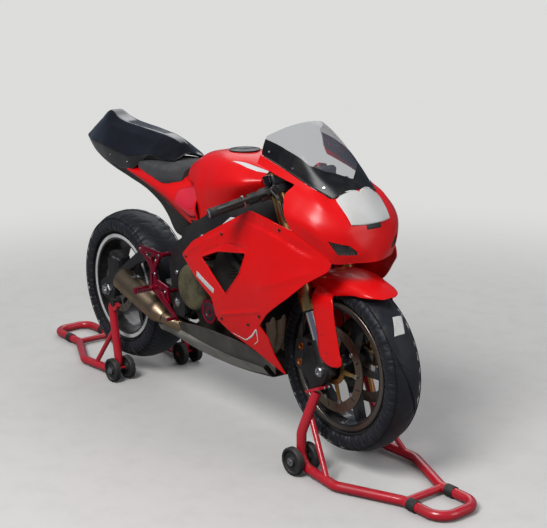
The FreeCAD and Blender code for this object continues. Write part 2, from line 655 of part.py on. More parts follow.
TANK = (
    (545, ((62, 918), (78, 932), (44, 974))),
    (640, ((108, S.seat_deck + S.seat_gap), (126, 925), (78, 1016))),
    (698, ((116, S.seat_deck + S.seat_gap), (140, 930), (84, 1040))),
    (706, ((140, over_spar(706)), (152, 925), (85, S.tank_top - 8))),
    (750, ((142, over_spar(750)), (156, 935), (88, S.tank_top - 3))),
    (840, ((142, over_spar(840)), (164, 950), (96, S.tank_top))),
    (960, ((112, over_spar(960)), (152, 968), (88, S.tank_top - 12))),
    (1040, ((40, over_spar(1040)), (96, 978), (58, 1006))),
)
node("fuel_tank", [hull(TANK)], "main_frame")
cap = new_body("filler_cap", x="810", z="tank_top")
cap_disc = sketch(cap, "cap_plan", "YZ_Plane", [
    ("0", "0.5"), ("cap_r", "0.5"), ("cap_r", "5"), ("cap_r - 18", "8"), ("cap_r - 22", "5"), ("0", "5")])
turned = cap.newObject("PartDesign::Revolution", "cap_disc")
turned.Profile = cap_disc
turned.ReferenceAxis = (cap_disc, ["V_Axis"])
turned.Angle = 360
nodes.append(cap)

SEAT_BASE = (
    (122, ((96, 893), (101, 904), (66, 914))),
    (300, ((114, 862), (127, 888), (100, 922))),
    (470, ((126, 818), (142, 860), (104, 912))),
    (600, ((132, 770), (150, 830), (96, S.seat_deck))),
    (655, ((137, over_spar(655)), (152, 828), (112, S.seat_deck))),
    (700, ((140, over_spar(700)), (154, 840), (118, S.seat_deck))),
)
SEAT_PAD = [(x, [(half, S.seat_deck + S.pad_rise + z) for half, z in rows]) for x, rows in (
    (222, ((98, 6), (104, 31), (66, 39))),
    (330, ((100, 8), (130, 33), (84, 47))),
    (470, ((100, 0), (122, 31), (72, 51))),
    (538, ((64, -3), (72, 37), (38, 49))),
)]
TAIL = (
    (-346, ((10, 974), (14, 983), (10, 989), (6, 993))),
    (-300, ((26, 961), (34, 986), (24, 1006), (10, 1016))),
    (-200, ((58, 938), (78, 986), (46, 1048), (18, 1074))),
    (-104, ((76, 917), (98, 986), (62, 1070), (28, 1116))),
    (-60, ((84, 909), (106, 985), (68, 1066), (30, 1098))),
    (0, ((90, 904), (111, 980), (70, 1058), (32, 1084))),
    (120, ((96, 899), (114, 966), (68, 1048), (30, 1072))),
    (320, ((84, 962), (106, 988), (60, 1030), (22, 1054))),
    (396, ((78, 964), (94, 978), (50, 1008), (16, 1030))),
    (436, ((66, 967), (76, 973), (40, 982), (14, 992))),
)


def canopy(stations, wall):
    """A shell open below."""
    inside = [(x, [past(rows[0], rows[1], wall)] + [(half - wall, z - wall) for half, z in rows[1:]])
              for x, rows in stations]
    return hull(stations).cut(hull(inside))


node("seat_base", [canopy(SEAT_BASE, S.skin)], "fuel_tank", "main_frame")
node("tail_cowl", [canopy(TAIL, S.skin)], "seat_base", "main_frame")
node("seat_pad", [hull(SEAT_PAD)], "seat_base", "fuel_tank", "tail_cowl")


def under(stations, index):
    """The half width and height just below a bodywork section's lower edge."""
    half, z = stations[index][1][0]
    return (half, z - S.seat_gap)


UNDERTRAY = (
    (-344, ((8, 968), (10, 972))),
    (-300, ((22, 953), under(TAIL, 1))),
    (-200, ((52, 928), under(TAIL, 2))),
    (-104, ((70, 906), under(TAIL, 3))),
    (-60, ((78, 898), under(TAIL, 4))),
    (0, ((84, 887), under(TAIL, 5))),
    (114, ((90, 866), (95, 898.7))),
    (122, ((90, 864), (95, 892.7))),
    (300, ((94, 822), under(SEAT_BASE, 1))),
    (380, ((96, 783), (118, 841))),
    (470, ((98, 684), under(SEAT_BASE, 2))),
    (520, ((100, 680), (126, 799))),
    (596, ((102, 738), (129, 771))),
)
node("undertray", [trough(UNDERTRAY, S.skin)], "main_frame", "seat_base", "tail_cowl")

NOSE = (
    (1095, ((206, 903), (206, 940), (180, 1020), (140, 1086))),
    (1228, ((206, 888), (209, 930), (176, 1000), (133, 1048))),
    (1346, ((203, 867), (205, 905), (172, 965), (122, 1006))),
    (1452, ((176, 812), (178, 860), (148, 925), (106, 968))),
    (1540, ((112, 782), (122, 830), (106, 880), (84, 898))),
    (1592, ((48, 776), (60, 812), (50, 840), (34, 850))),
)
nose_inside = []
for x, rows in NOSE:
    inner = [past(rows[0], rows[1], S.skin)] + [(half - S.skin, z) for half, z in rows[1:-1]]
    inner.append(past(rows[-1], rows[-2], S.skin) if x < 1400 else (rows[-1][0] - S.skin, rows[-1][1] - S.skin))
    nose_inside.append((x, inner))
nose_inside[0] = (1090, nose_inside[0][1])
nose_inside[-1] = (1588, nose_inside[-1][1])
bar_room = plate([(1060, 840), (1060, 1064), (1150, 1043), (1295, 1007), (1279, 979), (1304, 931), (1340, 866),
                  (1350, 840)], -300, -90)
nose = hull(NOSE).cut(hull(nose_inside))
for cut in both_sides(bar_room):
    nose = nose.cut(cut)
node("upper_fairing", [nose])


def nose_top(x):
    """The half width and height at which the screen seats on the nose at a station."""
    for (x1, rows1), (x2, rows2) in zip(NOSE, NOSE[1:]):
        if x1 <= x <= x2:
            (half1, z1), (half2, z2) = rows1[-1], rows2[-1]
            part = (x - x1) / (x2 - x1)
            return (half1 + (half2 - half1) * part - 0.5, z1 + (z2 - z1) * part + S.seat_gap)
    raise ValueError(x)


SCREEN = (
    (1100, (nose_top(1100), (118, 1152), (78, 1196), (28, 1218))),
    (1180, (nose_top(1180), (115, 1136), (76, 1180), (28, 1200))),
    (1260, (nose_top(1260), (111, 1098), (70, 1138), (25, 1155))),
    (1346, (nose_top(1346), (102, 1038), (62, 1064), (21, 1074))),
    (1428, (nose_top(1428), (92, 991), (54, 998), (18, 1001))),
)
screen_inside = [(x, [past(rows[0], rows[1], S.screen_wall)] +
                  [(half - S.screen_wall * 0.6, z - S.screen_wall) for half, z in rows[1:]])
                 for x, rows in SCREEN]
rear_cut = plate([(1000, 1000), (1096, 1060), (1104, 1147), (1196, 1196), (1205, 1300), (1000, 1300)], -200, 200)
node("windscreen", [hull(SCREEN).cut(hull(screen_inside)).cut(rear_cut)], "upper_fairing")

slope = unit(V(1540 - 1452, 0, 898 - 968))
outward = V(-slope.z, 0, slope.x)
board = [V(1455, 0, 965.6) + outward * 0.5, V(1540, 0, 898) + outward * 0.5]
board += [board[1] + outward * S.board_wall, board[0] + outward * S.board_wall]
node("number_board", [plate([(place.x, place.z) for place in board], -S.board_half, S.board_half)])

SIDES = (
    (680, ((150, 320), (196, 480), (215, 640), (212, 800), (198, 905))),
    (900, ((164, 320), (220, 480), (236, 640), (222, 800), (206, 905))),
    (1120, ((174, 320), (216, 480), (236, 640), (222, 800), (206, 905))),
    (1330, ((156, 320), (204, 480), (226, 640), (214, 800), (203, 905))),
    (1530, ((120, 320), (160, 480), (184, 640), (178, 800), (160, 905))),
)
SIDE_OUTLINE = ((699, 669), (813, 748), (980, 820), (1065, 874), (1112, 900), (1165, 895), (1228, 887),
                (1346, 866), (1452, 811), (1516, 782), (1510, 758), (1420, 702), (1341, 639), (1226, 557),
                (1182, 512), (1176, 500), (916, 466), (908, 474), (918, 571), (812, 632))
SIDE_HOLE = ((844, 689), (954, 731), (1118, 754), (1087, 673), (998, 579))
LOWER_OUTLINE = ((916, 466), (1176, 500), (1212, 466), (1225, 400), (1257, 333), (1118, 392), (995, 426))
side_shell = hull(SIDES).cut(hull([(x, [(half, z + (z - 600) * 0.1) for half, z in rows])
                                   for x, rows in SIDES], S.skin))
right_panel = side_shell.common(plate(SIDE_OUTLINE, -300, 0)).cut(plate(SIDE_HOLE, -300, 0, 8))
right_lower = side_shell.common(plate([(x, z - S.seat_gap) for x, z in LOWER_OUTLINE], -300, 0))
panel_posts = [cross_bar(905, 786, -221, -172, 10), cross_bar(760, 722, -216, -172, 10)]
panels = both_sides(fused([right_panel] + panel_posts).cut(plain["main_frame"]))
node("side_fairing_right", panels[:1])
node("side_fairing_left", panels[1:])
node("lower_fairings", both_sides(right_lower))

dash = plate([(1222, 1000), (1234, 1045), (1260, 1037), (1248, 992)], -62, 62, 6)
stay = [bar(V(1240, y, 1004), V(1168, y * 0.4, 892), 7) for y in (-40, 40)]
node("instrument_dash", [fused([dash] + stay)], "main_frame")

# Foot controls

bracket = plate([(352, 622), (372, 640), (505, 636), (514, 618), (474, 560), (482, 520), (560, 505),
                 (572, 440), (556, 430), (470, 462), (432, 480), (440, 560), (404, 596)], -202, -192, 5)
for outline in (((388, 618), (450, 622), (446, 590)), ((452, 606), (490, 622), (462, 580)),
                ((452, 545), (464, 540), (460, 500), (450, 498)), ((480, 500), (545, 490), (550, 455))):
    bracket = bracket.cut(plate(outline, -210, -180))
posts = [cross_bar(545, 485, -192, -152 - S.seat_gap, 9), cross_bar(508, 624, -192, -152 - S.seat_gap, 9)]
peg = cross_bar(452, 482, -284, -202, 11)
shoe = block(V(444, -284, 490), V(462, -222, 496))
lever = fused([cross_bar(520, 468, -216, -202, 12), plate(
    [(512, 458), (528, 478), (632, 408), (640, 392), (622, 396)], -214, -206)])
toe = cross_bar(628, 402, -250, -214, 7)
foot_set = fused([bracket, *posts, peg, shoe, lever, toe])
sets = both_sides(foot_set)
node("rearset_right", sets[:1])
node("rearset_left", sets[1:])


# Chain

def chain_loop(off):
    """The outline of the chain's run about its two sprockets, off its pitch line."""
    rear, front = V(0, 0, S.rear_axle_z), V(S.front_sprocket_x, 0, S.front_sprocket_z)
    rear_r, front_r = S.sprocket_r + off, S.front_sprocket_r + off
    along = unit(front - rear)
    across = V(-along.z, 0, along.x)
    lean = (rear_r - front_r) / (front - rear).Length
    rise = math.sqrt(1 - lean * lean)
    up = along * lean + across * rise
    down = along * lean - across * rise
    return Part.Wire([
        Part.LineSegment(rear + up * rear_r, front + up * front_r).toShape(),
        Part.Arc(front + up * front_r, front + along * front_r, front + down * front_r).toShape(),
        Part.LineSegment(front + down * front_r, rear + down * rear_r).toShape(),
        Part.Arc(rear + down * rear_r, rear - along * rear_r, rear + up * rear_r).toShape()])


outside = Part.Face(chain_loop(S.chain_out)).extrude(V(0, 2 * S.chain_half, 0))
inside = Part.Face(chain_loop(S.chain_in)).extrude(V(0, 2 * S.chain_half, 0))
loop = outside.cut(inside)
loop.translate(V(0, S.sprocket_y - S.chain_half, 0))
node("drive_chain", [loop])

# Steering: yokes, legs, bars

yoke_points = [(-60, -30), (-30, -60), (-20, -146 + 8), (36, -138), (36, -70), (20, -30),
               (20, 30), (36, 70), (36, 138), (-20, 138), (-30, 60), (-60, 30)]
yoke_bores = [bar(leg(S.low_yoke - 60, 0, side), leg(S.fork_top, 0, side), S.outer_tube_r + S.seat_gap)
              for side in (-S.fork_half, S.fork_half)]
stem = bar(leg(S.low_yoke, -S.fork_offset), leg(S.top_yoke + 22, -S.fork_offset), S.stem_r)
yokes = []
for along in (S.low_yoke, S.top_yoke):
    half = S.yoke_wall / 2
    yokes.append(leg_plate(yoke_points, along - half, along + half, 12))
yokes = fused(yokes + [stem])
for bore in yoke_bores:
    yokes = yokes.cut(bore)
node("yokes", [yokes])

outer_legs, inner_legs, bottoms, calipers = [], [], [], []
for side in (-S.fork_half, S.fork_half):
    outer_legs.append(fused([
        bar(leg(S.outer_foot, 0, side), leg(S.fork_top, 0, side), S.outer_tube_r),
        bar(leg(S.outer_foot, 0, side), leg(S.outer_foot + 48, 0, side), S.outer_tube_r + 3)]))
    inner_legs.append(bar(leg(S.inner_foot, 0, side), leg(S.outer_foot - S.seat_gap, 0, side), S.inner_tube_r))
node("fork_outers", outer_legs)
node("fork_inners", inner_legs)

CALIPER_TURN = math.radians(171)
radial = V(math.cos(CALIPER_TURN), 0, math.sin(CALIPER_TURN))
tangent = V(-radial.z, 0, radial.x) * -1
caliper_inner = 112


def wheel_place(out, round_):
    """A point by its distance from the front axle towards the caliper and square to that."""
    place = FRONT_AXLE + radial * out + tangent * round_
    return (place.x, place.z)


lug = [leg(S.inner_foot - S.seat_gap, 22), leg(40, 26), leg(-20, 34), leg(-50, -40), leg(-50, -96),
       leg(-30, -98)]
lug = [(place.x, place.z) for place in lug]
lug += [wheel_place(caliper_inner - S.seat_gap, -44), wheel_place(caliper_inner - S.seat_gap, 44)]
lug += [(place.x, place.z) for place in (leg(90, -24), leg(S.inner_foot - S.seat_gap, -22))]
casting = plate(lug, -S.fork_half - 14, -S.fork_half + 8)
casting = fused([casting, bar(leg(-10, 0, -S.fork_half), leg(S.inner_foot - S.seat_gap, 0, -S.fork_half), 25),
                 cross_bar(FRONT_AXLE.x, FRONT_AXLE.z, -S.fork_half - 26, -S.front_hub_half - 21, 30)])
casting = casting.cut(cross_bar(FRONT_AXLE.x, FRONT_AXLE.z, -200, 0, S.front_axle_r))
node("fork_bottoms", both_sides(casting))

caliper_plan = [wheel_place(112, -58), wheel_place(112, 58), wheel_place(158, 58), wheel_place(174, 34),
                 wheel_place(174, -34), wheel_place(158, -58)]
caliper = plate(caliper_plan, -S.disc_y - 30, -S.disc_y + 24, 6)
caliper = caliper.cut(cross_bar(FRONT_AXLE.x, FRONT_AXLE.z, -S.disc_y - 5, -S.disc_y + 5, S.disc_r + 5))
node("front_calipers", both_sides(caliper))

SWEEP, DROOP = math.radians(S.bar_sweep), math.radians(S.bar_droop)
swept = V(0, -1, 0) * math.cos(SWEEP) - LEG_FORWARD * math.sin(SWEEP)
bar_way = swept * math.cos(DROOP) - LEG_UP * math.sin(DROOP)
bar_root = leg(S.clip_on_place, 14, -S.fork_half)
clamp = bar(leg(S.clip_on_place - 15, 0, -S.fork_half), leg(S.clip_on_place + 15 - S.seat_gap, 0, -S.fork_half),
            S.outer_tube_r + 9)
clip_on = fused([clamp, bar(bar_root, bar_root + bar_way * S.bar_length, S.bar_r)])
clip_on = clip_on.cut(bar(leg(300, 0, -S.fork_half), leg(S.fork_top + 10, 0, -S.fork_half),
                          S.outer_tube_r + S.seat_gap))
node("clip_ons", both_sides(clip_on))
grip = bar(bar_root + bar_way * 142, bar_root + bar_way * 262, S.grip_r).cut(
    bar(bar_root, bar_root + bar_way * 300, S.bar_r + S.seat_gap))
node("grips", both_sides(grip))
pump = bar(bar_root + bar_way * 62, bar_root + bar_way * 96, 17)
arm_root = bar_root + bar_way * 92 + LEG_FORWARD * 48
hand_lever = fused([bar(bar_root + bar_way * 78, bar_root + bar_way * 78 + LEG_FORWARD * 60, 11),
                    tube([arm_root - bar_way * 14, arm_root + bar_way * 60 + LEG_FORWARD * 12,
                          arm_root + bar_way * 168 + LEG_FORWARD * 4], 7, 60), pump])
hand_lever = hand_lever.cut(bar(bar_root, bar_root + bar_way * 300, S.bar_r + S.seat_gap))
node("hand_controls", both_sides(hand_lever))

pump_end = bar_root + bar_way * 70 + LEG_FORWARD * 60
hose = tube([pump_end, pump_end + LEG_FORWARD * 30 - LEG_UP * 40, leg(520, 66, -60), leg(430, 50, -20)], 4, 30)
drop = tube([leg(430, 50, -20), leg(400, 44, -62), leg(356, -44, -66), leg(300, -62, -86), leg(220, -58, -86),
             leg(130, -96, -98)], 4, 24)
node("brake_hoses", [hose, *both_sides(drop)], "front_calipers", "hand_controls", "fork_bottoms")


def ring_sector(half, low, high, start, stop):
    """Part of a ring about the front axle between two angles from straight ahead."""
    face = Part.Face(Part.makePolygon([V(low, -half, 0), V(high, -half, 0), V(high, half, 0),
                                       V(low, half, 0), V(low, -half, 0)]))
    sector = face.revolve(V(0, 0, 0), V(0, -1, 0), stop - start)
    sector.rotate(V(0, 0, 0), V(0, -1, 0), start)
    sector.translate(FRONT_AXLE)
    return sector


crown_wall = S.skin
crown = ring_sector(S.crown_half, S.crown_r - 20, S.crown_r, 58, 122).cut(
    ring_sector(S.crown_half - crown_wall, S.crown_r - 34, S.crown_r - crown_wall, 40, 130))
# ahead of the front axle, above it
GUARD = ((-48, 276), (-64, 240), (-56, 170), (-37, 95), (-8, 43), (31, 24), (88, 42), (69, 109), (51, 195),
         (46, 265), (52, 276))
guard_face = -S.fork_half - S.guard_out
guard = plate([(FRONT_AXLE.x + x, FRONT_AXLE.z + z) for x, z in GUARD], guard_face, guard_face + S.guard_wall)
web_x = FRONT_AXLE.x + GUARD[0][0]
web_foot = FRONT_AXLE.z + GUARD[0][1]
web_top = FRONT_AXLE.z + S.crown_r - 3
web = Part.Face(Part.makePolygon([V(web_x, y, z) for y, z in (
    (-S.crown_half + crown_wall, web_top), (-S.crown_half, web_top), (guard_face, web_foot),
    (guard_face, web_foot - 6), (guard_face + S.guard_wall, web_foot - 6),
    (-S.crown_half + crown_wall, web_top - 6), (-S.crown_half + crown_wall, web_top))]))
web = web.extrude(V(GUARD[-1][0] - GUARD[0][0], 0, 0))
node("front_mudguard", [fused([crown] + both_sides(guard) + both_sides(web))], "fork_bottoms", "fork_inners")


# Paddock stands

def stand_tube(post, floor_bend, wide, neck, loop_x):
    """One bent tube: a post, along the floor, round the handle and back up to the other post."""
    floor = S.stand_tube_r + S.foot_wall
    way = 1 if loop_x > neck[0] else -1
    end = loop_x - way * S.stand_tube_r
    right = [*post, V(floor_bend[0], -S.stand_half, floor_bend[1]), V(wide[0], -wide[1], floor),
             V(neck[0], -neck[1], floor), V(end, -neck[1], floor)]
    left = [V(place.x, -place.y, place.z) for place in reversed(right)]
    return tube(right + left, S.stand_tube_r, S.stand_bend)


def roller_axles(x):
    """The bolts that carry a stand's rollers, one pair for each arm."""
    reach = S.stand_wheel_step + S.stand_wheel_wall / 2 + 6
    return both_sides(cross_bar(x, S.stand_wheel_r, -S.stand_half - reach, -S.stand_half + reach, S.stand_axle_r))


floor_line = S.stand_tube_r + S.foot_wall
rear_loop = stand_tube([V(60, -164, 312)], (S.rear_wheels_x, 28), (-165, 190), (-400, 86), -S.rear_reach)
trough_cut = cross_bar(S.spool_x, S.spool_z, -200, 200, S.spool_r + S.seat_gap)
cradle = plate([(44, 300), (48, 322), (66, 334), (104, 334), (114, 322), (104, 304), (70, 296)], -174, -156, 4)
cradle = cradle.cut(trough_cut)
rear_braces = both_sides(bar(V(78, -167, 220), V(-72, -184, 24), S.brace_tube_r))
node("rear_stand", [fused([rear_loop, cross_bar(-404, floor_line, -84, 84, S.brace_tube_r + 3)] + rear_braces
                          + both_sides(cradle) + roller_axles(S.rear_wheels_x))])
front_x = S.wheelbase + S.front_wheels_x
front_post = [leg(-66, -70, -118), V(front_x + 4, -S.stand_half, 150)]
front_loop = stand_tube(front_post, (front_x, 28), (S.wheelbase + 140, 186), (S.wheelbase + 370, 86),
                        S.wheelbase + S.front_reach)
lift_pad = leg_plate([(-108, -136), (-108, -92), (-30, -92), (-30, -136)], -60 - S.seat_gap, -50 - S.seat_gap)
front_braces = both_sides(bar(V(front_x + 8, -134, 206), V(S.wheelbase + 96, -183, 24), S.brace_tube_r))
node("front_stand", [fused([front_loop, cross_bar(S.wheelbase + 374, floor_line, -84, 84, S.brace_tube_r + 3)]
                           + front_braces + both_sides(lift_pad) + roller_axles(front_x))])
for label, x in (("rear_stand_feet", -500), ("front_stand_feet", S.wheelbase + 395)):
    sleeve = bar(V(x, -86, floor_line), V(x + 36, -86, floor_line), S.stand_tube_r + S.foot_wall)
    sleeve = sleeve.cut(bar(V(x - 5, -86, floor_line), V(x + 60, -86, floor_line), S.stand_tube_r + S.seat_gap / 2))
    node(label, both_sides(sleeve))

# Check every object and write one file for each sub-part

doc.recompute()
for made in doc.Objects:
    if "Invalid" in made.State or "Error" in made.State:
        raise RuntimeError(f"{made.Label} is {made.State}")
os.makedirs("parts", exist_ok=True)
for made in nodes:
    shape = made.Shape
    if shape.isNull() or not shape.isValid() or not shape.Solids:
        raise RuntimeError(f"{made.Label} has no valid solid")
    shape.exportStep(f"parts/{made.Label}.step")
    print(f"{made.Label}: {len(shape.Solids)} solids, {shape.Volume / 1000:.0f} cm3")
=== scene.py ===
"""The looks of a racing motorcycle on its two paddock stands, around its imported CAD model."""
import json
import logging
import math
from dataclasses import dataclass, field
from enum import Enum
from typing import Iterable, Optional, Sequence

import bmesh
import bpy
import numpy as np
from mathutils import Matrix, Vector

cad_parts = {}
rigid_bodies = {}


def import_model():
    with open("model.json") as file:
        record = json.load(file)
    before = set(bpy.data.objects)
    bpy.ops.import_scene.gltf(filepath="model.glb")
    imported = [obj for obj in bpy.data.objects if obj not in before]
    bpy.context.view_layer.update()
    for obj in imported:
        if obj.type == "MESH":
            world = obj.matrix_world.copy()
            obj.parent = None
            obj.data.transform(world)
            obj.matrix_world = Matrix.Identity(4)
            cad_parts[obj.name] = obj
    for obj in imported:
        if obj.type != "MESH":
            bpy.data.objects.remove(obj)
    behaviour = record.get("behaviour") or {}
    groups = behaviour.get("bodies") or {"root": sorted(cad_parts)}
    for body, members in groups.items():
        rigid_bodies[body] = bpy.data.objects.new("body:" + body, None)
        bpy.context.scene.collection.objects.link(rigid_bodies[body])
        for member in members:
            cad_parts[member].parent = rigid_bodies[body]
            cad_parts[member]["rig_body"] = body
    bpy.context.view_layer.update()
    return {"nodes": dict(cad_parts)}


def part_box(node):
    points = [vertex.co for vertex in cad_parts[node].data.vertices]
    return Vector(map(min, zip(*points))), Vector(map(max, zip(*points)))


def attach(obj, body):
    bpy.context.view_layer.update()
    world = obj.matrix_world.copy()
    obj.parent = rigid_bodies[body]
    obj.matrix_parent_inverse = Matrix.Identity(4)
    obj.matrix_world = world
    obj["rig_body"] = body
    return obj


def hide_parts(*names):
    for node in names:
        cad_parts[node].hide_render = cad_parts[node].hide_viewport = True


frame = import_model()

log = logging.getLogger("sport_bike")
MM = 0.001
REAR_AXLE = np.array([-0.6535, 0.0, 0.372])
FRONT_AXLE = np.array([0.7465, 0.0, 0.376])
RAKE = math.radians(23.8)
LEG_UP = np.array([-math.sin(RAKE), 0.0, math.cos(RAKE)])
LEG_AHEAD = np.array([math.cos(RAKE), 0.0, math.sin(RAKE)])
LEG_HALF_GAP = 104
SHARP_ANGLE = math.radians(32)
FLAT_ANGLE = math.radians(1.5)
BEVEL_ANGLE = math.radians(38)
CORNER_POINTS = 6
WELD = 1e-6
CAST_WELD = 2e-5
SIDES = ((-1, "right"), (1, "left"))
UP = (0, 0, 1)
RIGHT = (0, -1, 0)
# the moving bodies that pieces ride on
CHASSIS, STEERING, FRONT_WHEEL, REAR_WHEEL = "chassis", "steering", "front_wheel", "rear_wheel"

Array = np.ndarray
Point = tuple[float, float, float]
Colour = tuple[float, float, float]
Object = bpy.types.Object
Material = bpy.types.Material
Node = bpy.types.Node
Tree = bpy.types.NodeTree
Socket = bpy.types.NodeSocket
# radius and height of each ring of a turned piece, millimetres
Profile = Sequence[tuple[float, float]]
# x, then half width and height of each row on the right side, millimetres
Station = tuple[float, tuple[tuple[float, float], ...]]


class Relief(str, Enum):
    """The fine surface patterns a finish can carry."""
    SMOOTH = "smooth"
    CAST = "cast"
    TURNED = "turned"
    CLOTH = "cloth"
    FOAM = "foam"
    FINS = "fins"


SMOOTH, CAST, TURNED, CLOTH, FOAM, FINS = Relief


@dataclass(frozen=True)
class Finish:
    """One surface finish.

    Args:
        colour: base colour, linear red, green and blue.
        roughness: base roughness.
        metal: 0 for paint and plastic, 1 for bare metal.
        coat: weight of a clear coat.
        relief: the fine pattern.
        cells: how many pattern cells go to a metre.
        depth: strength of the pattern's bump.
        second: colour of stains and wear.
        stain: how much of the second colour shows.
        dust: how much pale dust lies on it.
        alpha: 1 where solid, less where it lets light through.
        sheen: cloth sheen weight.
        shine: how strongly the base reflects, 0.5 for a usual plastic.
        coat_blur: roughness of the clear coat.
    """
    colour: Colour
    roughness: float
    metal: float = 0.0
    coat: float = 0.0
    relief: Relief = SMOOTH
    cells: float = 300.0
    depth: float = 0.15
    second: Colour = (0.1, 0.09, 0.08)
    stain: float = 0.15
    dust: float = 0.1
    alpha: float = 1.0
    sheen: float = 0.0
    shine: float = 0.5
    coat_blur: float = 0.05


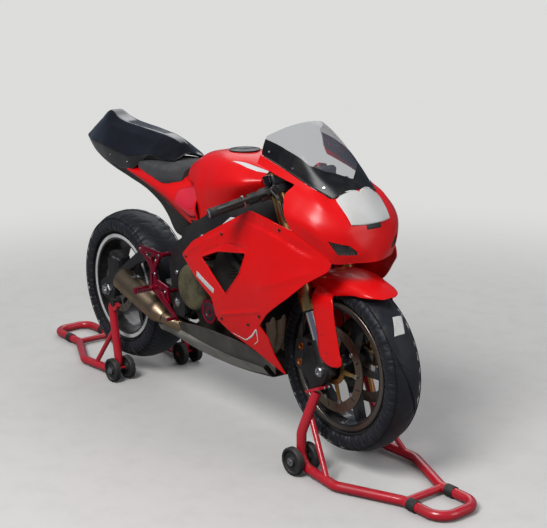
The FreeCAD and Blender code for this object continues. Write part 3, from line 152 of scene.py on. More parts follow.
FINISHES: dict[str, Finish] = {
    "red_paint": Finish((0.74, 0.0018, 0.003), 0.34, coat=0.4, cells=90, depth=0.015, second=(0.58, 0.0015, 0.0025),
        stain=0.25, dust=0.012, shine=0.2, coat_blur=0.24),
    "red_film": Finish((0.72, 0.012, 0.035), 0.3, coat=0.8, cells=60, depth=0.05, second=(0.6, 0.03, 0.06), stain=0.3,
        dust=0.05, shine=0.3),
    "black_gloss": Finish((0.004, 0.004, 0.006), 0.2, coat=0.8, cells=80, depth=0.002, second=(0.01, 0.01, 0.014),
        stain=0.15, dust=0.015, shine=0.3, coat_blur=0.13),
    "grey_matt": Finish((0.02, 0.0195, 0.019), 0.5, relief=CAST, cells=420, depth=0.05,
        second=(0.05, 0.047, 0.043), stain=0.5, dust=0.2),
    "pan_worn": Finish((0.052, 0.048, 0.042), 0.5, relief=CAST, cells=300, depth=0.06,
        second=(0.13, 0.12, 0.1), stain=0.5, dust=0.2),
    # the dark pan made pale for its downward facets: painted bounce light from the floor
    "pan_painted_bounce": Finish((0.38, 0.36, 0.315), 0.5, relief=CAST, cells=300, depth=0.05,
        second=(0.08, 0.075, 0.065), stain=0.6, dust=0.2),
    "white_board": Finish((0.6, 0.6, 0.585), 0.45, cells=60, depth=0.03, second=(0.46, 0.44, 0.39), stain=0.3,
        dust=0.05),
    "white_line": Finish((0.66, 0.66, 0.66), 0.4, coat=0.2, stain=0.1, dust=0.0),
    "screen": Finish((0.13, 0.14, 0.17), 0.13, alpha=0.26, stain=0.02, dust=0.0, depth=0.0, shine=0.3),
    "screen_band": Finish((0.006, 0.0065, 0.008), 0.32, coat=0.12, dust=0.03, depth=0.0, shine=0.25, coat_blur=0.3),
    "foam": Finish((0.03, 0.031, 0.034), 0.85, relief=FOAM, cells=700, depth=0.25,
        second=(0.055, 0.055, 0.058), stain=0.4, dust=0.1, sheen=0.1),
    "frame_black": Finish((0.018, 0.018, 0.02), 0.42, metal=0.3, relief=CAST, cells=500, depth=0.05,
        second=(0.07, 0.066, 0.06), stain=0.35, dust=0.2),
    "wheel_black": Finish((0.01, 0.01, 0.012), 0.3, metal=0.2, coat=0.5, depth=0.02, second=(0.09, 0.08, 0.07),
        stain=0.3, dust=0.2),
    "engine": Finish((0.035, 0.034, 0.033), 0.5, metal=0.6, relief=CAST, cells=330, depth=0.16,
        second=(0.16, 0.13, 0.09), stain=0.4, dust=0.3),
    "cover": Finish((0.2, 0.18, 0.1), 0.45, metal=0.55, relief=CAST, cells=120, depth=0.35,
        second=(0.03, 0.028, 0.02), stain=0.9, dust=0.2),
    "steel": Finish((0.3, 0.265, 0.225), 0.36, metal=1.0, relief=TURNED, cells=900, depth=0.1,
        second=(0.2, 0.13, 0.08), stain=0.45),
    "front_disc": Finish((0.3, 0.235, 0.18), 0.34, metal=1.0, relief=TURNED, cells=900, depth=0.1,
        second=(0.2, 0.13, 0.08), stain=0.4),
    "chain": Finish((0.13, 0.1, 0.05), 0.42, metal=0.9, second=(0.02, 0.02, 0.02), stain=0.6),
    "gold": Finish((0.62, 0.42, 0.16), 0.27, metal=1.0, depth=0.02, second=(0.4, 0.27, 0.12), stain=0.25),
    "chrome": Finish((0.82, 0.83, 0.85), 0.06, metal=1.0, depth=0.0, stain=0.05, dust=0.0),
    "silver": Finish((0.55, 0.55, 0.56), 0.32, metal=1.0, depth=0.04, stain=0.2),
    "titanium": Finish((0.47, 0.35, 0.21), 0.33, metal=1.0, relief=TURNED, cells=500, depth=0.06,
        second=(0.2, 0.12, 0.11), stain=0.6, dust=0.15),
    "heat_wrap": Finish((0.6, 0.5, 0.36), 0.75, relief=CLOTH, cells=260, depth=0.3, second=(0.3, 0.2, 0.12),
        stain=0.6),
    "crimson": Finish((0.42, 0.008, 0.045), 0.3, metal=0.85, depth=0.03, second=(0.2, 0.01, 0.03), stain=0.35,
        dust=0.15),
    "caliper_black": Finish((0.02, 0.02, 0.022), 0.38, metal=0.4, relief=CAST, cells=500, depth=0.08,
        stain=0.3, dust=0.15),
    "bronze": Finish((0.62, 0.2, 0.05), 0.28, metal=1.0, stain=0.2),
    "brass": Finish((0.55, 0.38, 0.13), 0.35, metal=1.0, stain=0.3),
    "cooler": Finish((0.028, 0.028, 0.03), 0.5, metal=0.5, relief=FINS, cells=420, depth=0.7, dust=0.25),
    "controls": Finish((0.014, 0.014, 0.015), 0.45, relief=CAST, cells=600, depth=0.06, stain=0.25, dust=0.15),
    "grip": Finish((0.02, 0.02, 0.021), 0.85, relief=FINS, cells=300, depth=0.6, dust=0.2),
    "cap": Finish((0.03, 0.03, 0.032), 0.3, metal=0.6, stain=0.2),
    "tyre": Finish((0.014, 0.014, 0.015), 0.8, relief=FOAM, cells=400, depth=0.15, dust=0.1),
    "warmer": Finish((0.008, 0.009, 0.0135), 0.5, coat=0.08, relief=CLOTH, cells=1400, depth=0.08,
        second=(0.018, 0.02, 0.026), stain=0.35, dust=0.015, sheen=0.08, shine=0.3, coat_blur=0.45),
    "warmer_trim": Finish((0.005, 0.005, 0.006), 0.75, relief=CLOTH, cells=900, depth=0.3, dust=0.0,
        shine=0.2),
    "patch": Finish((0.6, 0.6, 0.58), 0.6, relief=CLOTH, cells=900, depth=0.15, stain=0.3, sheen=0.2),
    "stand_red": Finish((0.52, 0.006, 0.02), 0.3, coat=0.6, depth=0.03, second=(0.2, 0.02, 0.03), stain=0.35,
        dust=0.15),
    "roller": Finish((0.02, 0.02, 0.021), 0.6, relief=CAST, cells=300, depth=0.1, dust=0.25),
    "rim_tape": Finish((0.6, 0.6, 0.6), 0.4, stain=0.3, dust=0.0),
    "grey_metal": Finish((0.2, 0.2, 0.19), 0.38, metal=0.9, relief=CAST, cells=400, depth=0.1,
        second=(0.05, 0.05, 0.045), stain=0.4),
    "floor": Finish((0.62, 0.61, 0.59), 0.85, relief=CAST, cells=40, depth=0.03, second=(0.52, 0.51, 0.49),
        stain=0.3, dust=0.0),
}

# the finish of each CAD node that is seen as it is
NODE_FINISH: dict[str, str] = {node: finish for finish, nodes in (
    ("red_paint", "fuel_tank seat_base upper_fairing side_fairing_right side_fairing_left lower_fairings "
     "front_mudguard"),
    ("black_gloss", "tail_cowl"), ("pan_worn", "belly_pan"), ("grey_matt", "undertray"),
    ("white_board", "number_board"), ("screen", "windscreen"), ("foam", "seat_pad"),
    ("frame_black", "main_frame swingarm yokes"), ("caliper_black", "fork_bottoms rear_caliper front_calipers"),
    ("controls", "clip_ons hand_controls instrument_dash brake_hoses"), ("wheel_black", "front_rim rear_rim"),
    ("engine", "engine_block"), ("cover", "engine_covers"), ("front_disc", "front_discs"),
    ("steel", "rear_disc rear_sprocket drive_sprocket"), ("chain", "drive_chain"), ("silver", "front_axle rear_axle"),
    ("gold", "fork_outers"), ("chrome", "fork_inners"), ("titanium", "exhaust_header silencer"),
    ("crimson", "rearset_right rearset_left"), ("cooler", "radiator"), ("grip", "grips"), ("cap", "filler_cap"),
    ("tyre", "front_tyre rear_tyre"), ("warmer", "front_warmer rear_warmer"), ("stand_red", "rear_stand front_stand"),
    ("roller", "rear_stand_rollers_right rear_stand_rollers_left front_stand_rollers_right "
     "front_stand_rollers_left rear_stand_feet front_stand_feet"),
) for node in nodes.split()}
# how far the edges of each recast CAD node are rounded, in millimetres
RECAST: dict[str, float] = {
    "main_frame": 3.0, "swingarm": 3.0, "yokes": 2.5, "fork_bottoms": 2.5, "clip_ons": 1.5,
    "rear_caliper": 2.5, "engine_block": 3.0, "rearset_right": 1.2, "rearset_left": 1.2,
    "front_calipers": 2.5, "hand_controls": 1.5, "instrument_dash": 2.0, "silencer": 2.0,
}


def place(x: float, y: float, z: float) -> Array:
    """A point in metres from millimetres ahead of the rear axle, to the rider's left and above the floor."""
    return np.array([REAR_AXLE[0] + x * MM, y * MM, z * MM])


def places(*points: Point) -> Array:
    """Points in metres, each given as for place."""
    return np.array([place(*point) for point in points])


def leg(along: float, ahead: float = 0.0, side: float = 0.0) -> Array:
    """A point in millimetres along the fork legs, ahead of their line and off the centre plane."""
    return FRONT_AXLE + LEG_UP * along * MM + LEG_AHEAD * ahead * MM + np.array([0.0, side * MM, 0.0])


def turns(count: int) -> Array:
    """Angles evenly round a circle."""
    return np.linspace(0, 2 * math.pi, count, endpoint=False)


def circled(centre: Array, turn: Array, radius: object, off: object = 0.0) -> Array:
    """Points round an axle.

    Args:
        centre: the axle's middle, metres.
        turn: angles, up from ahead.
        radius: distance from the axle, millimetres.
        off: distance to the left of the middle, millimetres.

    Returns:
        Points in metres, the shape of the angles and distances by 3.
    """
    parts = np.broadcast_arrays(np.cos(turn) * radius, off, np.sin(turn) * radius)
    return np.stack(parts, axis=-1) * MM + centre


def unit(ways: Array) -> Array:
    """Vectors made one long."""
    return ways / np.linalg.norm(ways, axis=-1, keepdims=True)


class Graph:
    """A node tree that is written a node at a time.

    Args:
        tree: the tree.
    """

    def __init__(self, tree: Tree) -> None:
        """Hold the tree."""
        self.tree = tree

    def fill(self, node: Node, inputs: dict) -> None:
        """Set a node's inputs to values, or join them to sockets.

        Args:
            node: the node.
            inputs: a value or a socket for each input, by label or number.
        """
        for label, value in inputs.items():
            if isinstance(value, Socket):
                self.tree.links.new(value, node.inputs[label])
            else:
                node.inputs[label].default_value = value

    def add(self, kind: str, inputs: Optional[dict] = None, **settings: object) -> Node:
        """A new shader node.

        Args:
            kind: the node's type, after its common first word.
            inputs: a value or a socket for each input, by label or number.
            **settings: the node's own settings.

        Returns:
            The node.
        """
        node = self.tree.nodes.new(f"ShaderNode{kind}")
        for label, value in settings.items():
            setattr(node, label, value)
        self.fill(node, inputs or {})
        return node

    def spot(self) -> Socket:
        """The object's own coordinates."""
        return self.add("TexCoord").outputs["Object"]

    def noise(self, scale: float, detail: float, roughness: float) -> Socket:
        """Noise on the object's own coordinates."""
        return self.add("TexNoise", {"Scale": scale, "Detail": detail, "Roughness": roughness,
                "Vector": self.spot()}).outputs["Fac"]

    def ramp(self, source: Socket, low: float, high: float) -> Socket:
        """A value's range mapped to zero and one, smoothly."""
        return self.add("MapRange", {"From Min": low, "From Max": high, "To Max": 1.0, "Value": source},
                interpolation_type="SMOOTHSTEP").outputs["Result"]

    def maths(self, kind: str, first: object, second: object) -> Socket:
        """The result of a maths node on two sockets or numbers."""
        return self.add("Math", {0: first, 1: second}, operation=kind).outputs[0]

    def mix(self, factor: Socket, first: object, second: object) -> Socket:
        """A colour between two sockets or colours."""
        return self.add("Mix", {"Factor": factor, 6: first, 7: second}, data_type="RGBA").outputs[2]


class Shaders:
    """Builds the shared node groups and one material for each finish."""

    DUST = (0.36, 0.33, 0.28, 1.0)

    def __init__(self) -> None:
        """Make the groups once."""
        self.weather = self._weather_group()
        self.reliefs = {relief: self._relief_group(relief) for relief in Relief}
        self.made: dict[str, Material] = {}

    @staticmethod
    def _group(name: str, inputs: dict[str, object], outputs: Iterable[tuple[str, str]]) -> tuple[Graph, Node, Node]:
        """An empty shader group with its sockets.

        Args:
            name: the group's name.
            inputs: label and default of each input, a colour or a number.
            outputs: label and socket type of each output.

        Returns:
            The graph, its input node and its output node.
        """
        tree = bpy.data.node_groups.new(name, "ShaderNodeTree")
        for label, default in inputs.items():
            kind = "NodeSocketColor" if isinstance(default, tuple) else "NodeSocketFloat"
            tree.interface.new_socket(label, in_out="INPUT", socket_type=kind).default_value = default
        for label, kind in outputs:
            tree.interface.new_socket(label, in_out="OUTPUT", socket_type=kind)
        return Graph(tree), tree.nodes.new("NodeGroupInput"), tree.nodes.new("NodeGroupOutput")

    def _weather_group(self) -> Tree:
        """Stains in a second colour, and dust on what faces up.

        Returns:
            The group's tree.
        """
        graph, source, result = self._group(
            "Weather", {"Colour": (0.5, 0.5, 0.5, 1), "Second": (0.1, 0.1, 0.1, 1), "Stain": 0.2, "Dust": 0.1,
                "Roughness": 0.5}, [("Colour", "NodeSocketColor"), ("Roughness", "NodeSocketFloat")])
        given = source.outputs
        blots = graph.ramp(graph.noise(9.0, 8.0, 0.62), 0.42, 0.72)
        specks = graph.ramp(graph.noise(150.0, 4.0, 0.7), 0.5, 0.72)
        marks = graph.maths("ADD", blots, graph.maths("MULTIPLY", specks, 0.5))
        stain = graph.maths("MULTIPLY", marks, given["Stain"])
        stained = graph.mix(stain, given["Colour"], given["Second"])
        normal = graph.add("NewGeometry").outputs["Normal"]
        upward = graph.ramp(graph.add("SeparateXYZ", {"Vector": normal}).outputs["Z"], 0.1, 1.0)
        drift = graph.ramp(graph.noise(26.0, 6.0, 0.6), 0.35, 0.8)
        dust = graph.maths("MULTIPLY", graph.maths("MULTIPLY", upward, drift), given["Dust"])
        wear = graph.maths("MULTIPLY", graph.maths("ADD", stain, dust), 0.22)
        graph.fill(result, {"Colour": graph.mix(dust, stained, self.DUST),
                "Roughness": graph.maths("ADD", given["Roughness"], wear)})
        return graph.tree

    def _relief_group(self, relief: Relief) -> Tree:
        """The bump of one fine pattern.

        Args:
            relief: the pattern.

        Returns:
            The group's tree.
        """
        graph, source, result = self._group(f"Relief {relief.value}", {"Scale": 300.0, "Depth": 0.1},
                [("Normal", "NodeSocketVector")])
        spot, scale = graph.spot(), source.outputs["Scale"]
        if relief in (CLOTH, FINS):
            cloth = relief is CLOTH
            scaled = graph.maths("MULTIPLY", scale, 0.3)
            waves = {"Scale": scaled, "Vector": spot}
            height = graph.add("TexWave", {**waves, "Distortion": 0.6 if cloth else 0.0},
                    bands_direction="X" if cloth else "Z").outputs["Fac"]
            if cloth:
                other = graph.add("TexWave", waves, bands_direction="Z").outputs["Fac"]
                height = graph.maths("MAXIMUM", height, other)
        elif relief is FOAM:
            height = graph.add("TexVoronoi", {"Scale": scale, "Vector": spot}).outputs["Distance"]
        else:
            if relief is TURNED:
                spot = graph.add("Mapping", {"Scale": (1.0, 1.0, 0.04), "Vector": spot}).outputs["Vector"]
            detail = 3.0 if relief is SMOOTH else 7.0
            height = graph.add("TexNoise", {"Detail": detail, "Scale": scale, "Vector": spot}).outputs["Fac"]
        bump = graph.add("Bump", {"Distance": 0.001, "Strength": source.outputs["Depth"], "Height": height})
        graph.fill(result, {"Normal": bump.outputs["Normal"]})
        return graph.tree

    def material(self, name: str) -> Material:
        """The material of a finish, made once.

        Args:
            name: a key of FINISHES.

        Returns:
            The material.
        """
        if name in self.made:
            return self.made[name]
        finish = FINISHES[name]
        made = bpy.data.materials.new(name)
        made.use_nodes = True
        graph = Graph(made.node_tree)
        weather, relief = (graph.add("Group", node_tree=tree) for tree in (self.weather, self.reliefs[finish.relief]))
        graph.fill(weather, {"Colour": (*finish.colour, 1), "Second": (*finish.second, 1), "Stain": finish.stain,
                "Dust": finish.dust, "Roughness": finish.roughness})
        graph.fill(relief, {"Scale": finish.cells, "Depth": finish.depth})
        shader = made.node_tree.nodes["Principled BSDF"]
        graph.fill(shader, {"Base Color": weather.outputs["Colour"], "Roughness": weather.outputs["Roughness"],
            "Normal": relief.outputs["Normal"], "Metallic": finish.metal, "Coat Weight": finish.coat,
            "Coat Roughness": finish.coat_blur, "Sheen Weight": finish.sheen, "Specular IOR Level": finish.shine,
            "Alpha": finish.alpha})
        self.made[name] = made
        return made

    def ringed(self, name: str, centre: Array, radius: float, inner: Colour) -> None:
        """Give a finish another colour near an axle.

        Args:
            name: a key of FINISHES.
            centre: a point of the axle, metres.
            radius: how far the inner colour reaches, metres.
            inner: linear red, green and blue.
        """
        graph = Graph(self.material(name).node_tree)
        weather = next(node for node in graph.tree.nodes if node.type == "GROUP" and node.node_tree == self.weather)
        flat = graph.add("Mapping", {"Location": (-centre[0], 0.0, -centre[2]), "Scale": (1.0, 0.0, 1.0),
                "Vector": graph.spot()})
        reach = graph.add("VectorMath", {0: flat.outputs["Vector"]}, operation="LENGTH").outputs["Value"]
        share = graph.ramp(reach, radius - 0.5 * MM, radius + 0.5 * MM)
        graph.fill(weather, {"Colour": graph.mix(share, (*inner, 1), (*FINISHES[name].colour, 1))})


# Surfaces

def sections_at(held: Array, count: int) -> tuple[Array, Array, Array, Array]:
    """Where evenly spaced points lie along rows of control points.

    Args:
        held: control points, the curve's own direction first.
        count: how many points to find.

    Returns:
        The distance of each control point, the stretch each point lies in, the share of it passed, and the
        stretches' lengths at the points.
    """
    steps = np.linalg.norm(np.diff(held, axis=0), axis=-1).reshape(len(held) - 1, -1).mean(axis=1)
    at = np.concatenate([[0.0], np.cumsum(np.maximum(steps, 1e-9))])
    where = np.linspace(0.0, at[-1], count)
    span = np.clip(np.searchsorted(at, where, side="right") - 1, 0, len(at) - 2)
    shape = (-1,) + (1,) * (held.ndim - 1)
    length = (at[span + 1] - at[span]).reshape(shape)
    return at, span, (where - at[span]).reshape(shape) / length, length


def smooth_rows(points: Array, count: int, axis: int = 0) -> Array:
    """Points of a smooth curve through given points, spaced by their chord.

    Args:
        points: control points, the curve's own direction along axis.
        count: how many points to return along axis.
        axis: the array's axis to follow.

    Returns:
        The resampled array.
    """
    held = np.moveaxis(points, axis, 0)
    at, span, t, length = sections_at(held, count)
    wide = np.diff(at).reshape((-1,) + (1,) * (held.ndim - 1))
    slope = np.diff(held, axis=0) / wide
    inner = (slope[1:] * wide[:-1] + slope[:-1] * wide[1:]) / (wide[1:] + wide[:-1])
    tangent = np.concatenate([slope[:1], inner, slope[-1:]])
    start = held[span] * (2 * t ** 3 - 3 * t ** 2 + 1) + tangent[span] * length * (t ** 3 - 2 * t ** 2 + t)
    stop = held[span + 1] * (3 * t ** 2 - 2 * t ** 3) + tangent[span + 1] * length * (t ** 3 - t ** 2)
    return np.moveaxis(start + stop, 0, axis)


def creased_rows(points: Array, count: int, soften: int, axis: int = 0) -> Array:
    """Points along straight runs whose corners are a little rounded.

    Args:
        points: the corners, along axis.
        count: how many points to return along axis.
        soften: passes of rounding, 0 for sharp corners.
        axis: the array's axis to follow.

    Returns:
        The resampled array.
    """
    held = np.moveaxis(points, axis, 0)
    _, span, t, _ = sections_at(held, count)
    out = held[span] * (1 - t) + held[span + 1] * t
    for _ in range(soften):
        out[1:-1] = (out[:-2] + 2 * out[1:-1] + out[2:]) / 4
    return np.moveaxis(out, 0, axis)


def smooth_both(points: Array, along: int, around: int) -> Array:
    """A grid resampled smoothly, its second direction first."""
    return smooth_rows(smooth_rows(points, around, axis=1), along, axis=0)


def blend(corners: Sequence[Array], s: Array, t: Array) -> Array:
    """Values between four.

    Args:
        corners: the values near and far in s at the start of t, then both at its end.
        s: shares of the first way.
        t: shares of the second way.

    Returns:
        The values between.
    """
    low_near, far_near, low_far, far_far = corners
    return (low_near * (1 - s) * (1 - t) + far_near * s * (1 - t) + low_far * (1 - s) * t + far_far * s * t)


def half_sections(stations: Sequence[Station]) -> Array:
    """Stations by rows by 3 on the right side, in metres, from half widths and heights."""
    return np.array([[place(x, -half, z) for half, z in rows] for x, rows in stations])


def mirrored(points: Array) -> Array:
    """Rows of the right side carried on to the left one.

    Args:
        points: stations by rows by 3, metres.

    Returns:
        The same stations with both sides' rows, the middle one once.
    """
    left = points[:, ::-1] * np.array([1.0, -1.0, 1.0])
    on_middle = np.allclose(points[:, -1, 1], 0.0)
    return np.concatenate([points, left[:, 1:] if on_middle else left], axis=1)


@dataclass(frozen=True)
class Surface:
    """A grid of points, the first index from the rear to the front, the second from right to left.

    Args:
        grid: rows by columns by 3, metres.
    """
    grid: Array

    @classmethod
    def smooth(cls, stations: Sequence[Station], along: int, around: int) -> "Surface":
        """A surface that is smooth both ways over symmetric stations."""
        return cls(smooth_both(mirrored(half_sections(stations)), along, around))

    @classmethod
    def creased(cls, stations: Sequence[Station], along: int, around: int, soften: int = 2) -> "Surface":
        """A surface that is smooth lengthwise and keeps its creases across."""
        whole = mirrored(half_sections(stations))
        return cls(smooth_rows(creased_rows(whole, around, soften, axis=1), along, axis=0))

    def at(self, u: Array, v: Array) -> Array:
        """Points of the surface.

        Args:
            u: fractions of the way along.
            v: fractions of the way around, the shape of u.

        Returns:
            Points in metres, the shape of u by 3.
        """
        rows, columns = self.grid.shape[:2]
        row = np.clip(np.asarray(u, dtype=float), 0, 1) * (rows - 1)
        column = np.clip(np.asarray(v, dtype=float), 0, 1) * (columns - 1)
        i = np.clip(row.astype(int), 0, rows - 2)
        j = np.clip(column.astype(int), 0, columns - 2)
        corners = (self.grid[i, j], self.grid[i + 1, j], self.grid[i, j + 1], self.grid[i + 1, j + 1])
        return blend(corners, (row - i)[..., None], (column - j)[..., None])

    def out(self, u: Array, v: Array, step: float = 0.01) -> Array:
        """Outward unit vectors of the surface.

        Args:
            u: fractions of the way along.
            v: fractions of the way around.
            step: how far to each side the slope is taken.

        Returns:
            Vectors, the shape of u by 3.
        """
        ahead = self.at(np.asarray(u) + step, v) - self.at(np.asarray(u) - step, v)
        across = self.at(u, np.asarray(v) + step) - self.at(u, np.asarray(v) - step)
        found = np.cross(ahead, across)
        return found / np.maximum(np.linalg.norm(found, axis=-1, keepdims=True), 1e-12)

    def lifted(self, u: Array, v: Array, height: float) -> Array:
        """Points that stand off the surface by a height in metres."""
        return self.at(u, v) + self.out(u, v) * height


def rounded(corners: Sequence[tuple[float, float]], radius: float) -> Array:
    """A closed outline in metres with its corners rounded.

    Args:
        corners: x and z of each corner, millimetres from the rear axle's station.
        radius: how far each corner is rounded, millimetres.

    Returns:
        n by 2, metres in the frame of the part.
    """
    held = np.array(corners, dtype=float)
    start, stop = (held + unit(way) * np.minimum(radius, 0.45 * np.linalg.norm(way, axis=1))[:, None]
            for way in (np.roll(held, 1, axis=0) - held, np.roll(held, -1, axis=0) - held))
    t = np.linspace(0, 1, CORNER_POINTS)[None, :, None]
    curve = (1 - t) ** 2 * start[:, None] + 2 * t * (1 - t) * held[:, None] + t ** 2 * stop[:, None]
    return curve.reshape(-1, 2) * MM + np.array([REAR_AXLE[0], 0.0])


def rings(ahead: Array, sides: int) -> Array:
    """Rings of unit vectors.

    Args:
        ahead: unit vectors, n by 3, that the rings stand square to.
        sides: vectors in each ring.

    Returns:
        n by sides by 3.
    """
    guide = np.where(np.abs(ahead[..., 1:2]) < 0.9, np.array([0.0, 1.0, 0.0]), np.array([0.0, 0.0, 1.0]))
    first = unit(np.cross(ahead, guide))
    second = np.cross(first, ahead)
    turn = turns(sides)[:, None]
    return first[:, None] * np.cos(turn) + second[:, None] * np.sin(turn)


def quads(index: Array) -> Array:
    """The corners of each cell of a grid of vertex numbers."""
    return np.stack([index[:-1, :-1], index[1:, :-1], index[1:, 1:], index[:-1, 1:]], axis=-1).reshape(-1, 4)


def walls(count: int) -> list[list[int]]:
    """The faces of a closed form between two rings of points."""
    sides = [[i, (i + 1) % count, (i + 1) % count + count, i + count] for i in range(count)]
    return sides + [list(range(count))[::-1], list(range(count, 2 * count))]


def turn_out(data: bpy.types.Mesh) -> None:
    """Weld a closed mesh and turn its faces outwards.

    Args:
        data: the mesh.
    """
    form = bmesh.new()
    form.from_mesh(data)
    bmesh.ops.remove_doubles(form, verts=form.verts, dist=WELD)
    bmesh.ops.recalc_face_normals(form, faces=form.faces)
    form.to_mesh(data)
    form.free()


def shade(data: bpy.types.Mesh) -> None:
    """Shade a mesh smoothly, apart from its sharp edges."""
    data.polygons.foreach_set("use_smooth", np.ones(len(data.polygons), dtype=bool))
    data.set_sharp_from_angle(angle=SHARP_ANGLE)


def linked(name: str, data: Optional[bpy.types.ID]) -> Object:
    """A new object of the scene.

    Args:
        name: the object's name.
        data: its mesh, lamp or camera.

    Returns:
        The object.
    """
    made = bpy.data.objects.new(name, data)
    bpy.context.scene.collection.objects.link(made)
    return made


@dataclass
class Workshop:
    """Adds pieces to the scene and gives them their finish and body.

    Args:
        shaders: where finishes come from.
    """
    shaders: Shaders

    def piece(self, name: str, verts: Array, faces: list, finish: str, body: str = CHASSIS,
            replaced: Sequence[str] = (), closed: bool = False) -> Object:
        """A piece from vertices and faces.

        Args:
            name: the piece's name.
            verts: n by 3, metres.
            faces: vertex numbers of each face.
            finish: a key of FINISHES.
            body: what it rides on.
            replaced: CAD nodes it stands for.
            closed: whether it encloses a volume, so that its faces can be turned outwards.

        Returns:
            The object.
        """
        data = bpy.data.meshes.new(name)
        data.from_pydata(np.asarray(verts, dtype=float), [], faces)
        if closed:
            turn_out(data)
        shade(data)
        data.update()
        made = linked(name, data)
        made.data.materials.append(self.shaders.material(finish))
        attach(made, body)
        if replaced:
            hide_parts(*replaced)
        return made

    def grid(self, name: str, points: Array, finish: str, replaced: Sequence[str] = (), body: str = CHASSIS,
            looped: bool = False, tubular: bool = False, capped: bool = False, wall: float = 0.0) -> Object:
        """A piece from a grid of points.

        Args:
            name: the piece's name.
            points: rows by columns by 3, metres.
            finish: a key of FINISHES.
            replaced: CAD nodes it stands for.
            body: what it rides on.
            looped: the last row joins the first.
            tubular: the last column joins the first.
            capped: the first and last rows are closed.
            wall: thickness behind its face, metres.

        Returns:
            The object.
        """
        rows, columns = points.shape[:2]
        index = np.arange(rows * columns).reshape(rows, columns)
        if looped:
            index = np.concatenate([index, index[:1]])
        if tubular:
            index = np.concatenate([index, index[:, :1]], axis=1)
        verts = points.reshape(-1, 3)
        faces = quads(index).tolist()
        if capped:
            middle = len(verts)
            verts = np.concatenate([verts, points[:1].mean(axis=1), points[-1:].mean(axis=1)])
            faces += [[a, b, middle] for a, b in zip(index[0, :-1].tolist(), index[0, 1:].tolist())]
            faces += [[b, a, middle + 1] for a, b in zip(index[-1, :-1].tolist(), index[-1, 1:].tolist())]
        made = self.piece(name, verts, faces, finish, body, replaced, tubular and (looped or capped))
        if wall:
            self.thicken(made, wall)
        return made

    def tube(self, name: str, path: Array, radius: float, finish: str, body: str = CHASSIS, sides: int = 14,
            along: int = 60, looped: bool = False) -> Object:
        """A round bar along a smooth path.

        Args:
            name: the piece's name.
            path: the points it goes through, metres.
            radius: millimetres.
            finish: a key of FINISHES.
            body: what it rides on.
            sides: corners of its section.
            along: points along it.
            looped: whether its end joins its start.

        Returns:
            The object.
        """
        line = path if looped else smooth_rows(path, along)
        ahead = np.roll(line, -1, axis=0) - np.roll(line, 1, axis=0) if looped else np.gradient(line, axis=0)
        points = line[:, None] + rings(unit(ahead), sides) * (radius * MM)
        return self.grid(name, points, finish, (), body, looped, True, not looped)

    def turnings(self, name: str, spots: Array, ways: object, profile: Profile, finish: str,
            body: str = CHASSIS, sides: int = 18) -> Object:
        """Like round pieces at one or many places.

        Args:
            name: the piece's name.
            spots: the middle of each foot, metres.
            ways: the way each points, or one for all.
            profile: its rings from the foot up.
            finish: a key of FINISHES.
            body: what they ride on.
            sides: corners of each ring.

        Returns:
            The object.
        """
        spots = np.atleast_2d(spots)
        out = unit(np.broadcast_to(np.asarray(ways, dtype=float), spots.shape))
        ring = rings(out, sides)
        levels = [spots[:, None] + (ring * radius + out[:, None] * height) * MM for radius, height in profile]
        step = len(profile) * sides
        index = np.arange(step).reshape(len(profile), sides)
        cells = quads(np.concatenate([index, index[:, :1]], axis=1))
        faces = (cells[None] + (np.arange(len(spots)) * step)[:, None, None]).reshape(-1, 4)
        ends = [list(range(step - sides, step)), list(range(sides))[::-1]]
        caps = [[corner + step * number for corner in end] for number in range(len(spots)) for end in ends]
        points = np.stack(levels, axis=1).reshape(-1, 3)
        return self.piece(name, points, faces.tolist() + caps, finish, body, closed=True)

    def bolts(self, name: str, spots: Array, ways: object, radius: float, body: str = CHASSIS,
            finish: str = "silver") -> Object:
        """Socket heads with a dished middle, radius in millimetres."""
        profile = ((1, -0.5 / radius), (1, 0.55), (0.86, 0.75), (0.55, 0.75), (0.48, 0.25), (0.1, 0.2))
        return self.turnings(name, spots, ways, [(wide * radius, high * radius) for wide, high in profile], finish,
                body)

    @staticmethod
    def cutter(near: Array, far: Array) -> Object:
        """A tool for carving, between two rings of points.

        Args:
            near: n by 3, metres.
            far: the same points at the other end.

        Returns:
            The object.
        """
        data = bpy.data.meshes.new("cutter")
        data.from_pydata(np.concatenate([near, far]).tolist(), [], walls(len(near)))
        turn_out(data)
        return linked("cutter", data)

    def prism(self, outline: Array, low: float, high: float, upright: bool = False) -> Object:
        """A cutter with an outline in metres.

        Args:
            outline: n by 2, in side view, or in plan if upright.
            low: where it starts, across or upwards.
            high: where it ends.
            upright: whether the outline is a plan.

        Returns:
            The object.
        """
        order = (0, 1, 2) if upright else (0, 2, 1)
        return self.cutter(*(np.insert(outline, 2, end, axis=1)[:, order] for end in (low, high)))

    def carve(self, piece: Object, cuts: Sequence[Object], keep: Optional[Object] = None) -> None:
        """Keep what of a piece lies in one cutter, and cut others away.

        Args:
            piece: the piece, whose modifiers are made real.
            cuts: the cutters to take away.
            keep: the cutter to keep within.
        """
        tools = [("INTERSECT", keep)] if keep else []
        tools += [("DIFFERENCE", cut) for cut in cuts]
        for kind, tool in tools:
            step = piece.modifiers.new("cut", "BOOLEAN")
            step.operation, step.object, step.solver = kind, tool, "EXACT"
        self.bake(piece)
        for _, tool in tools:
            bpy.data.objects.remove(tool)

    @staticmethod
    def bake(piece: Object) -> None:
        """Replace a piece's mesh with what its modifiers make of it.

        Args:
            piece: the piece.
        """
        bpy.context.view_layer.update()
        data = bpy.data.meshes.new_from_object(piece.evaluated_get(bpy.context.evaluated_depsgraph_get()))
        piece.modifiers.clear()
        piece.data = data
        shade(data)

    @staticmethod
    def thicken(piece: Object, thickness: float) -> None:
        """Give a surface a wall behind its face, in metres."""
        wall = piece.modifiers.new("wall", "SOLIDIFY")
        wall.thickness, wall.offset, wall.use_even_offset = thickness, -1.0, True

